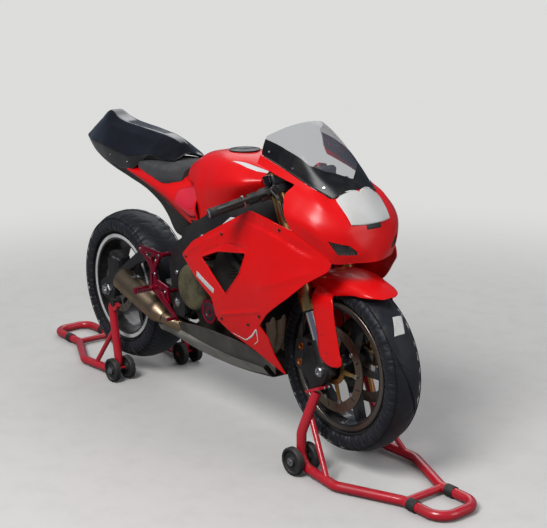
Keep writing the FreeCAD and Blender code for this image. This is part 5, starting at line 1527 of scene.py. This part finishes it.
@dataclass
class Wheels:
    """The rim bands, the disc buttons and the chain.

    Args:
        shop: where pieces are made.
        pitch: from one chain pin to the next, millimetres.
        chain_side: how far the chain runs to the left of the middle, metres.
        sprocket: the drive sprocket's place from the rear axle, ahead and up, metres.
        loop: the chain's radius on the rear and on the drive sprocket, metres.
        plate_points: points round a link plate.
    """
    shop: Workshop
    pitch: float = 15.875
    chain_side: float = 0.110
    sprocket: tuple[float, float] = (0.645, 0.068)
    loop: tuple[float, float] = (0.088, 0.034)
    plate_points: int = 20

    def build(self) -> None:
        """Make every piece."""
        for side, word in SIDES:
            for name, axle, half, body, finish in (("front", FRONT_AXLE, 52.0, FRONT_WHEEL, "steel"),
                    ("rear", REAR_AXLE, 78.0, REAR_WHEEL, "rim_tape")):
                edge = [circled(axle, turns(160), radius, side * off) for radius, off in (
                    (212, half - 0.5), (213, half + 0.6), (226, half + 0.6), (227, half - 0.5))]
                self.shop.grid(f"{name}_rim_band_{word}", np.stack(edge), finish, (), body, looped=True, tubular=True)
            self.shop.turnings(f"disc_buttons_{word}", circled(FRONT_AXLE, turns(10), 118, side * 78), (0, side, 0),
                    ((8, -0.5), (8, 1.2), (7, 1.8), (4, 1.8), (3.5, 0.8), (1, 0.8)), "silver", FRONT_WHEEL)
        self.chain()

    def pins(self) -> Array:
        """Where the chain's pins are, on the loop of the CAD chain.

        Returns:
            n by 2 in side view, metres.
        """
        rear = REAR_AXLE[[0, 2]]
        front = rear + np.array(self.sprocket)
        rear_r, front_r = self.loop
        gap = float(np.linalg.norm(front - rear))
        along = (front - rear) / gap
        across = np.array([-along[1], along[0]])
        lean = (rear_r - front_r) / gap
        rise = math.sqrt(1 - lean * lean)
        up, down = along * lean + across * rise, along * lean - across * rise
        up_angle, down_angle = math.atan2(up[1], up[0]), math.atan2(down[1], down[0])
        line = np.concatenate([middle + radius * np.stack([np.cos(turn), np.sin(turn)], axis=1)
                for middle, radius, turn in ((front, front_r, np.linspace(up_angle, down_angle, 24)),
                (rear, rear_r, np.linspace(down_angle, up_angle - 2 * math.pi, 60)))])
        line = np.concatenate([line, line[:1]])
        steps = np.concatenate([[0], np.cumsum(np.linalg.norm(np.diff(line, axis=0), axis=1))])
        where = np.linspace(0, steps[-1], 2 * round(steps[-1] / (self.pitch * MM) / 2), endpoint=False)
        return np.stack([np.interp(where, steps, line[:, axis]) for axis in (0, 1)], axis=1)

    def chain(self) -> None:
        """The drive chain, link by link."""
        pins = self.pins()
        rollers = self.shop.turnings("chain_rollers", np.insert(pins, 1, self.chain_side - 0.0098, axis=1), (0, 1, 0),
            ((2.6, 0), (2.6, 5.5), (5, 5.5), (5, 14.1), (2.6, 14.1), (2.6, 19.6)), "chain", sides=10)
        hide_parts("drive_chain")
        turn = turns(self.plate_points)
        ahead, off = np.cos(turn) * 0.5, np.sin(turn)
        length = (np.sign(ahead) * (self.pitch / 2 * MM * 0.55) + ahead * 18 * MM * 0.62)[None, :, None]
        waist = (off * (6.8 * MM * (0.82 + 0.18 * np.abs(ahead / 0.5))))[None, :, None]
        for name, start, low, high in (("outer", 0, 0.0062, 0.0078), ("inner", 1, 0.0044, 0.006)):
            first, second = pins[start::2], np.roll(pins, -1, axis=0)[start::2]
            way = unit(second - first)
            square = np.stack([-way[:, 1], way[:, 0]], axis=1)
            shape = ((first + second) / 2)[:, None] + way[:, None] * length + square[:, None] * waist
            step = 2 * self.plate_points
            faces = [[number * step + corner for corner in face]
                    for number in range(len(first)) for face in walls(self.plate_points)]
            for side, word in SIDES:
                plates = [np.insert(shape, 1, self.chain_side + side * out, axis=2) for out in (low, high)]
                self.shop.piece(f"chain_{name}_{word}", np.stack(plates, axis=1).reshape(-1, 3), faces, "chain",
                        closed=True)


# turned pieces on the engine's right side: name, place of the foot, profile, finish and sides
ENGINE_TURNED = (
    ("clutch_rim", (690, -120, 530), ((97, 0), (97, 7), (94, 10), (86, 10.5)), "cover", 72),
    ("small_cover", (808, -176, 462), ((36, -2), (36, 3), (33, 5), (22, 5), (20, 2.5), (12, 2.5), (11, 6), (9, 7)),
     "caliper_black", 48),
    ("small_ring", (808, -176, 462), ((46, -3), (47, 0), (46, 4), (42, 5), (39, 3)), "crimson", 48),
    ("filler_plug", (742, -120, 596), ((17, 0), (17, 8), (15, 10), (14, 10), (13, 8), (5, 8), (4, 13), (3, 14)),
     "crimson", 30),
    ("pivot_nut", (556, -152, 440), ((19, -1), (19, 3), (16, 4), (11, 4), (10, 0.5), (3, 0.5)), "silver", 6),
)
# tubes on the chassis: name, path, radius, finish, corners and points along
CHASSIS_TUBES = (
    ("water_hose", ((1010, -150, 600), (985, -158, 660), (930, -160, 690), (880, -150, 720), (860, -135, 770)), 13,
     "tyre", 16, 50),
    ("wiring", ((960, -140, 740), (1000, -158, 700), (1040, -160, 690), (1080, -150, 730)), 6, "controls", 10, 40),
    ("shock_link", ((548, 0, 446), (500, -8, 372), (450, -8, 338), (392, 0, 352)), 25, "frame_black", 16, 40),
)
# turned pieces on each fork leg: name, place along the leg, 1 if it points up, profile, finish and sides
FORK_TURNED = (
    ("fork_cap", 700, 1, ((26, -2), (26, 3), (24, 5), (17, 5), (16, 9), (8, 9), (7, 13), (4, 13)), "crimson", 24),
    ("dust_seal", 212, -1, ((29, -4), (29, 2), (27, 5), (22, 7)), "tyre", 32),
    ("fork_ring", 262, 1, ((27, -2), (28.6, -1), (28.6, 5), (27, 6)), "gold", 36),
)
# turned pieces on each bar: name, place along the bar, profile, finish and sides
BAR_TURNED = (
    ("bar_end", 262, ((15, -1), (15, 3), (12, 6), (8, 6), (7, 3), (2, 3)), "silver", 28),
    ("throttle_ring", 140, ((18, -6), (21, -5), (21, 0), (18, 1)), "silver", 28),
    ("throttle_tube", 84, [(20.5, 4.5 * step) if step % 2 else (17.5, 4.5 * step + 1.5) for step in range(9)],
     "controls", 30),
    ("cable_block", 46, ((14, -4), (21, -2), (23, 4), (23, 26), (21, 32), (14, 34)), "grey_metal", 8),
)
# cables: where each leaves the bar, how far it dips and how far down the leg it ends
CABLES = ((60, 34, 24), (66, 30, 34), (52, 40, 14))
# degrees from ahead, then half width and radius from the edge to the middle, millimetres
CROWN = (
    (124, ((74, 292), (77, 308), (64, 326), (36, 333), (0, 334))),
    (104, ((84, 280), (85, 300), (70, 323), (38, 333), (0, 334))),
    (84, ((92, 266), (89, 288), (73, 320), (40, 333), (0, 335))),
    (79, ((86, 275), (86, 294), (72, 321), (40, 334), (0, 336))),
    (70, ((77, 296), (77, 308), (65, 326), (37, 336), (0, 339))),
    (61, ((69, 321), (66, 328), (54, 336), (30, 341), (0, 342))),
    (56.5, ((49, 336), (47, 339), (38, 341), (22, 343), (0, 344))),
    (54.3, ((26, 341), (24, 342), (18, 343), (10, 344), (0, 344))),
)
# x, y and z of the rear and front edges, from the top down, millimetres
LEG_GUARD = (
    ((1345, 84, 664), (1432, 90, 644)), ((1350, 104, 656), (1440, 108, 645)), ((1356, 124, 642), (1457, 124, 640)),
    ((1361, 131, 620), (1467, 130, 618)), ((1367, 132.5, 590), (1474, 131.5, 584)),
    ((1378, 133, 550), (1485, 132, 537)), ((1390, 133, 506), (1496, 132, 493)), ((1394, 133, 467), (1504, 132, 462)),
    ((1406, 132.5, 430), (1512, 131.5, 440)), ((1432, 131.5, 413), (1508, 131, 424)),
    ((1462, 131, 410), (1486, 131, 414)),
)


@dataclass
class Fittings:
    """Bolts, caps, pistons, hoses and other small parts.

    Args:
        shop: where pieces are made.
        caliper_at: how far round the front wheel its calipers sit, degrees up from ahead.
        bar_sweep: how far the bars lean back, degrees.
        bar_droop: how far they lean down, degrees.
        bar_root: place of their inner ends along and ahead of the legs, millimetres.
        coils: turns of the shock absorber's spring.
    """
    shop: Workshop
    caliper_at: float = 171
    bar_sweep: float = 24
    bar_droop: float = 6
    bar_root: tuple[float, float] = (641, 14)
    coils: int = 7

    def build(self) -> None:
        """Make every small part."""
        for name, path, radius, finish, sides, along in CHASSIS_TUBES:
            self.shop.tube(name, places(*path), radius, finish, sides=sides, along=along)
        self.engine()
        self.behind()
        self.calipers()
        self.guard()
        for side, word in SIDES:
            self.fork(side, word)
            self.bar(side, word)
            self.foot_controls(side, word)
            self.stands(side, word)
        self.middle()

    def engine(self) -> None:
        """Cover bolts, the round side covers and the things behind the side opening."""
        shop = self.shop
        for name, spot, profile, finish, sides in ENGINE_TURNED:
            shop.turnings(name, place(*spot), RIGHT, profile, finish, sides=sides)
        for name, spot, radius, count, start, size in (("clutch_bolts", (690, -129, 530), 93, 10, 12, 4.6),
                ("small_cover_bolts", (808, -176, 462), 39.5, 5, 30, 3.6)):
            shop.bolts(name, circled(place(*spot), math.radians(start) + turns(count), radius), RIGHT, size)
        for number, (x, z) in enumerate(((1004, 618), (868, 752))):
            shop.turnings(f"hose_clip_{number + 1}", place(x, -153, z), (-0.4, 0, 0.9),
                    ((14, -4), (14.6, -4), (14.6, 4), (14, 4)), "silver", sides=30)
        for number in range(6):
            x, z = number * 7, 612 + number * 13
            shop.tube(f"cooling_rib_{number + 1}", places((905 + x, -152, z), (985 + x, -152, z + 20)), 3, "engine",
                    sides=8, along=6)
        spots = [(x, side * y, z) for side, _ in SIDES for x, y, z in ((640, 152, 690), (560, 152, 560),
                (770, 172, 742))]
        shop.bolts("frame_bolts", places(*spots), [(0, np.sign(y), 0) for _, y, _ in spots], 9.0)
        label = np.array([places((880, -164, 800), (900, -159, 802)), places((926, -152.5, 838), (946, -147.5, 838))])
        fine = smooth_rows(smooth_rows(label, 8, axis=0), 6, axis=1) + np.array([0, -1.2 * MM, 0])
        shop.grid("frame_label", fine[:, ::-1], "white_line", wall=FILM)

    def behind(self) -> None:
        """The shock absorber, the splash guard and the front exhaust pipes, seen through gaps."""
        shop = self.shop
        low, high = places((548, 0, 452), (572, 0, 652))
        way = unit(high - low)
        shop.turnings("shock_body", low, way, ((9, 0), (16, 4), (16, 60), (27, 64), (27, 74), (20, 78), (20, 190),
                (28, 192), (28, 200), (12, 204)), "controls", sides=30)
        turn = np.linspace(0, self.coils * 2 * math.pi, 260)[:, None]
        ahead, off = rings(way[None], 4)[0, :2]
        coil = low + way * (0.076 + 0.112 * turn / turn[-1]) + (ahead * np.cos(turn) + off * np.sin(turn)) * 0.031
        shop.tube("shock_spring", coil, 4.5, "crimson", sides=10, along=260)
        line = smooth_rows(np.array([(588, 736), (528, 678), (492, 606), (476, 528), (468, 456), (472, 404)],
                dtype=float), 40)
        across = np.linspace(100, -100, 24)[None]
        parts = np.broadcast_arrays(line[:, :1] - 14 * (1 - (across / 100) ** 2), across, line[:, 1:])
        sheet = np.stack(parts, axis=-1) * MM + np.array([REAR_AXLE[0], 0.0, 0.0])
        shop.grid("splash_guard", sheet, "grey_matt", wall=3 * MM)
        for number, y in enumerate((-92, -40, 40, 92)):
            pipe = places((1008, y, 600), (1056, y, 540), (1066, y * 0.95, 470), (1052, y * 0.8, 392),
                    (1000, y * 0.6, 330))
            shop.tube(f"front_pipe_{number + 1}", pipe, 19, "heat_wrap", sides=16, along=50)

    def calipers(self) -> None:
        """Piston caps, bolts and hose ends of the front calipers, and the caps of the rear one."""
        shop, turn = self.shop, math.radians(self.caliper_at)
        radial = np.array([math.cos(turn), 0, math.sin(turn)])
        tangent = np.array([math.sin(turn), 0, -math.cos(turn)])
        cap = ((14, -1), (14, 2), (12.5, 3), (9, 3), (8, 1.5), (3, 1.5))
        for side, word in SIDES:
            out = np.array([0, side, 0])
            caps, ends, banjo = (
                FRONT_AXLE + np.array([radial * reach + tangent * step + out * off for step in steps]) * MM
                for reach, off, steps in ((142, 105, (-30, 30)), (134, 99, (-52, 52)), (160, 98, (40,))))
            shop.turnings(f"piston_caps_{word}", caps, out, cap, "bronze", STEERING, 28)
            shop.bolts(f"caliper_bolts_{word}", ends, out, 5.5, STEERING)
            shop.turnings(f"banjo_{word}", banjo, radial, ((7, -6), (7, 8), (5, 9), (5, 13), (4, 14)), "silver",
                    STEERING, 6)
        shop.turnings("rear_piston_caps", places((0, -112, 498), (34, -112, 496)), RIGHT, cap, "silver", sides=28)

    def fork(self, side: int, word: str) -> None:
        """One fork leg's cap, dust seal, ring and clamp bolts.

        Args:
            side: -1 for the right, 1 for the left.
            word: the side's word.
        """
        shop, out = self.shop, (0, side, 0)
        for name, along, way, profile, finish, sides in FORK_TURNED:
            shop.turnings(f"{name}_{word}", leg(along, 0, side * LEG_HALF_GAP), LEG_UP * way, profile, finish,
                    STEERING, sides)
        shop.bolts(f"axle_clamp_bolts_{word}", np.array([leg(-58, ahead, side * 119) for ahead in (-16, 10)]), out,
                5.0, STEERING)
        shop.bolts(f"yoke_bolts_{word}", np.array([leg(470, 40, side * off) for off in (60, 84)]), LEG_AHEAD, 5.0,
                STEERING)

    def guard(self) -> None:
        """The front mudguard: a crown with skirts, and a leg guard each side."""
        shop = self.shop
        rows = np.array([[circled(FRONT_AXLE, math.radians(degrees), radius, -half) for half, radius in section]
                for degrees, section in CROWN])
        shop.grid("guard_crown", smooth_both(mirrored(rows), 90, 61), "red_paint", ["front_mudguard"], STEERING,
                wall=3 * MM)
        t = np.linspace(0, 1, 18)[None, :, None]
        for side, word in SIDES:
            ends = np.array([[place(x, side * y, z) for x, y, z in row] for row in LEG_GUARD])
            plate = ends[:, :1] * (1 - t) + ends[:, 1:] * t
            plate = plate + np.array([0, side * 2.5 * MM, 0]) * (1 - (2 * t - 1) ** 2)
            shop.grid(f"leg_guard_{word}", smooth_rows(plate, 70)[::side], "red_paint", ["front_mudguard"],
                    STEERING, wall=3 * MM)
            spots = places((1416, side * 134.5, 512), (1442, side * 134.5, 453))
            shop.bolts(f"guard_bolts_{word}", spots, (0, side, 0), 4.6, STEERING, "controls")

    def bar(self, side: int, word: str) -> None:
        """One bar's end, grip rings, controls, cables and the damper lines of its leg.

        Args:
            side: -1 for the right, 1 for the left.
            word: the side's word.
        """
        shop = self.shop
        root, way = self.bar_line(side)

        def spot(along: float, ahead: float = 0.0, up: float = 0.0) -> Array:
            """A point in metres along the bar, ahead of it and above it, from millimetres."""
            return root + (way * along + LEG_AHEAD * ahead + LEG_UP * up) * MM

        shop.turnings(f"grip_rings_{word}", np.array([spot(142 + step) for step in (3, 26, 50, 74, 98, 117)]), way,
                ((17.6, -2), (18.6, -1.4), (18.6, 1.4), (17.6, 2)), "grip", STEERING, 28)
        for name, along, profile, finish, sides in BAR_TURNED:
            shop.turnings(f"{name}_{word}", spot(along), way, profile, finish, STEERING, sides)
        shop.turnings(f"fluid_cup_{word}", spot(44, 14, 24), LEG_UP,
                ((9, -8), (13, 0), (14.5, 3), (14.5, 24), (16, 25), (16, 31), (14.5, 32), (4, 32)),
                "black_gloss", STEERING, 28)
        shop.turnings(f"lever_pivot_{word}", spot(70, 30, -10), LEG_UP, ((9, -2), (9, 16), (7, 18), (3, 18)),
                "silver", STEERING, 20)
        shop.bolts(f"clamp_bolts_{word}", np.array([spot(52, 23), spot(72, 23)]), LEG_AHEAD, 4.2, STEERING)
        shop.bolts(f"ring_screw_{word}", spot(134, 0, 18), LEG_UP, 3.6, STEERING, "brass")
        for number, (start, dip, stop) in enumerate(CABLES):
            cable = np.array([spot(start, 20), spot(start - 16, 30, dip - 24), spot(20, 20, 4 - dip),
                    leg(560 - stop, 16, side * 124)])
            shop.tube(f"cable_{number + 1}_{word}", cable, 3.2 if number else 4.2, "controls", STEERING, 10, 50)
        for number in range(3):
            ahead, off = 33 - number * 7, side * (124 + number * 3)
            line = np.array([leg(592, ahead, off), leg(556, ahead, off + side * 2), leg(520, ahead + 1, side * 124)])
            shop.tube(f"damper_line_{number + 1}_{word}", line, 2.0, "brass" if number == 1 else "silver", STEERING,
                    8, 24)

    def bar_line(self, side: int) -> tuple[Array, Array]:
        """A handlebar's centre line.

        Args:
            side: -1 for the right, 1 for the left.

        Returns:
            Its inner end, metres, and the way it points.
        """
        sweep, droop = math.radians(self.bar_sweep), math.radians(self.bar_droop)
        way = np.array([0, side, 0]) * math.cos(sweep) - LEG_AHEAD * math.sin(sweep)
        return leg(*self.bar_root, side * LEG_HALF_GAP), way * math.cos(droop) - LEG_UP * math.sin(droop)

    def foot_controls(self, side: int, word: str) -> None:
        """Bolts and the peg of one side's foot controls, and the axle's adjuster.

        Args:
            side: -1 for the right, 1 for the left.
            word: the side's word.
        """
        shop, out = self.shop, (0, side, 0)
        spots = places(*((x, side * 202, z) for x, z in ((545, 485), (508, 624), (452, 482), (476, 545), (372, 628),
                (424, 610), (486, 600))))
        shop.bolts(f"foot_bolts_{word}", spots, out, 5.2)
        rings_at = places(*((452, side * (214 + step), 482) for step in range(0, 64, 7)))
        shop.turnings(f"peg_knurl_{word}", rings_at, out, ((11, -1.6), (12.4, -1), (12.4, 1), (11, 1.6)), "silver",
                sides=20)
        for name, off, profile in (("axle_block", 148, ((27, -2), (27, 5), (25, 7), (16, 7))),
                ("axle_nut", 154, ((16, 0), (16, 9), (14, 11), (8, 11), (7, 6), (2, 6)))):
            shop.turnings(f"{name}_{word}", place(0, side * off, 372), out, profile, "silver", sides=6)
        shop.bolts(f"adjuster_{word}", place(-58, side * 135, 372), (-1, 0, 0), 6.0)

    def stands(self, side: int, word: str) -> None:
        """Caps on one side's roller axles.

        Args:
            side: -1 for the right, 1 for the left.
            word: the side's word.
        """
        for name, body in (("rear", CHASSIS), ("front", STEERING)):
            low, high = (np.array(corner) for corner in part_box(f"{name}_stand_rollers_{word}"))
            centre = (low + high) / 2
            spot = np.array([centre[0], low[1] if side < 0 else high[1], centre[2]])
            self.shop.turnings(f"{name}_roller_cap_{word}", spot, (0, side, 0),
                    ((15, -1), (15, 2), (13, 3), (8, 3), (7, 9), (5, 10)), "silver", body, 24)

    def middle(self) -> None:
        """The front axle's cap, the stem nut, the silencer's band and the dash's face."""
        shop = self.shop
        shop.turnings("front_axle_cap", FRONT_AXLE + np.array([0, -138 * MM, 0]), RIGHT,
                ((17, -2), (17, 3), (15, 5), (10, 5), (9, 1), (3, 1)), "silver", STEERING, 30)
        shop.turnings("stem_nut", leg(690, -32), LEG_UP, ((19, -2), (19, 8), (16, 10), (8, 10), (7, 6), (2, 6)),
                "silver", STEERING, 6)
        shop.turnings("silencer_band", place(240, -158, 442), (-0.86, 0.05, 0.5),
                ((46, -7), (47.5, -7), (47.5, 7), (46, 7)), "silver", sides=36)
        face = np.array([places((1236, y, 1008), (1249, y, 1040)) for y in (-50, 50)])
        fine = smooth_rows(face, 12) + np.array([-7 * MM, 0, 1 * MM])
        shop.grid("dash_face", fine[::-1], "screen_band", wall=1 * MM)


@dataclass
class Studio:
    """The floor, the lights and the camera.

    Args:
        shaders: where the floor's finish comes from.
        lens: focal length, millimetres.
        pale: the plain background.
        lamps: name, place, aim, width in metres and watts of each.
        half: how far the floor goes each way, metres.
        fade: where the floor starts and ends turning into the background, metres.
        spot: the camera's place, millimetres as for place.
        forward: the way it looks.
        upward: the way its top points.
    """
    shaders: Shaders
    lens: float = 79.87
    pale: tuple[float, ...] = (0.72, 0.72, 0.71, 1)
    lamps: tuple[tuple[str, Point, Point, float, float], ...] = (
        ("key", (1.6, -3.8, 4.8), (0.1, 0.0, 0.6), 2.6, 270),
        ("fill", (5.2, 2.0, 2.6), (0.3, 0.0, 0.6), 3.2, 50),
        ("back", (-3.4, 3.2, 4.6), (-0.2, 0.0, 0.8), 4.6, 75))
    half: float = 40.0
    fade: tuple[float, float] = (1.6, 4.2)
    spot: Point = (4403.4, -2623.1, 1764.4)
    forward: Point = (-0.7688712, 0.58832085, -0.25043092)
    upward: Point = (-0.1899925, 0.16376302, 0.96803126)

    def build(self) -> None:
        """Make the stage."""
        self.floor()
        self.sky()
        self.light()
        self.camera()

    def floor(self) -> None:
        """A plain pale floor."""
        data = bpy.data.meshes.new("floor")
        data.from_pydata([(x * self.half, y * self.half, 0) for x, y in ((-1, -1), (1, -1), (1, 1), (-1, 1))], [],
                [(0, 1, 2, 3)])
        made = linked("floor", data)
        made.location.z = -0.5 * MM
        made.data.materials.append(self.floor_paint())

    def floor_paint(self) -> Material:
        """The floor: pale to the camera, plain far away, darker in what it reflects onto the object.

        Returns:
            The material.
        """
        paint = self.shaders.material("floor")
        graph = Graph(paint.node_tree)
        near = graph.tree.nodes["Principled BSDF"]
        far = graph.add("Emission", {"Color": self.pale})
        dim = graph.add("BsdfDiffuse", {"Color": (0.2, 0.2, 0.2, 1)})
        reach = graph.add("VectorMath", {0: graph.spot()}, operation="LENGTH").outputs["Value"]
        seen = graph.add("MixShader", {"Fac": graph.ramp(reach, *self.fade), 1: near.outputs["BSDF"],
                2: far.outputs["Emission"]})
        whole = graph.add("MixShader", {"Fac": graph.add("LightPath").outputs["Is Camera Ray"],
                1: dim.outputs["BSDF"], 2: seen.outputs["Shader"]})
        graph.fill(graph.tree.nodes["Material Output"], {"Surface": whole.outputs["Shader"]})
        return paint

    def sky(self) -> None:
        """Soft light all round, dim in reflections, and a plain background to the camera."""
        world = bpy.data.worlds.new("studio")
        bpy.context.scene.world = world
        world.use_nodes = True
        graph = Graph(world.node_tree)
        light = graph.tree.nodes["Background"]
        graph.fill(light, {"Color": (0.92, 0.95, 1.0, 1), "Strength": 0.4})
        path, source = graph.add("LightPath").outputs, light.outputs["Background"]
        for ray, colour in (("Is Glossy Ray", (0.09, 0.11, 0.15, 1)), ("Is Camera Ray", self.pale)):
            plain = graph.add("Background", {"Color": colour}).outputs["Background"]
            source = graph.add("MixShader", {"Fac": path[ray], 1: source, 2: plain}).outputs["Shader"]
        graph.fill(graph.tree.nodes["World Output"], {"Surface": source})

    def light(self) -> None:
        """Large soft lamps."""
        for name, spot, aim, size, power in self.lamps:
            lamp = bpy.data.lights.new(name, "AREA")
            lamp.energy, lamp.shape, lamp.size = power, "DISK", size
            made = linked(name, lamp)
            made.location = spot
            made.rotation_euler = (Vector(aim) - Vector(spot)).to_track_quat("-Z", "Y").to_euler()

    def camera(self) -> None:
        """The photograph's viewpoint."""
        data = bpy.data.cameras.new("camera")
        data.lens, data.sensor_width, data.clip_end = self.lens, 36, 100
        data.dof.use_dof = False
        forward, upward = np.array(self.forward), np.array(self.upward)
        turn = Matrix(np.stack([np.cross(forward, upward), upward, -forward], axis=1).tolist())
        made = linked("camera", data)
        made.matrix_world = Matrix.Translation(Vector(place(*self.spot))) @ turn.to_4x4()
        bpy.context.scene.camera = made
        bpy.context.scene.view_settings.view_transform = "Standard"


def dress_nodes(shop: Workshop) -> None:
    """Give each CAD node its finish, and round the edges of those that are shown as they are.

    Args:
        shop: the workshop.
    """
    for name, thing in frame["nodes"].items():
        thing.data.materials.clear()
        thing.data.materials.append(shop.shaders.material(NODE_FINISH[name]))
    shop.shaders.ringed("front_disc", FRONT_AXLE, 117 * MM, (0.78, 0.5, 0.16))
    for name, width in RECAST.items():
        shop.recast(name, width)


def main() -> None:
    """Dress the model, set the stage and finish."""
    logging.basicConfig(level=logging.INFO)
    shop = Workshop(Shaders())
    dress_nodes(shop)
    for made in (Bodywork(shop), Warmers(shop), Wheels(shop), Fittings(shop), Studio(shop.shaders)):
        made.build()
        log.info("%s made", type(made).__name__.lower())


if __name__ == "__main__":
    main()
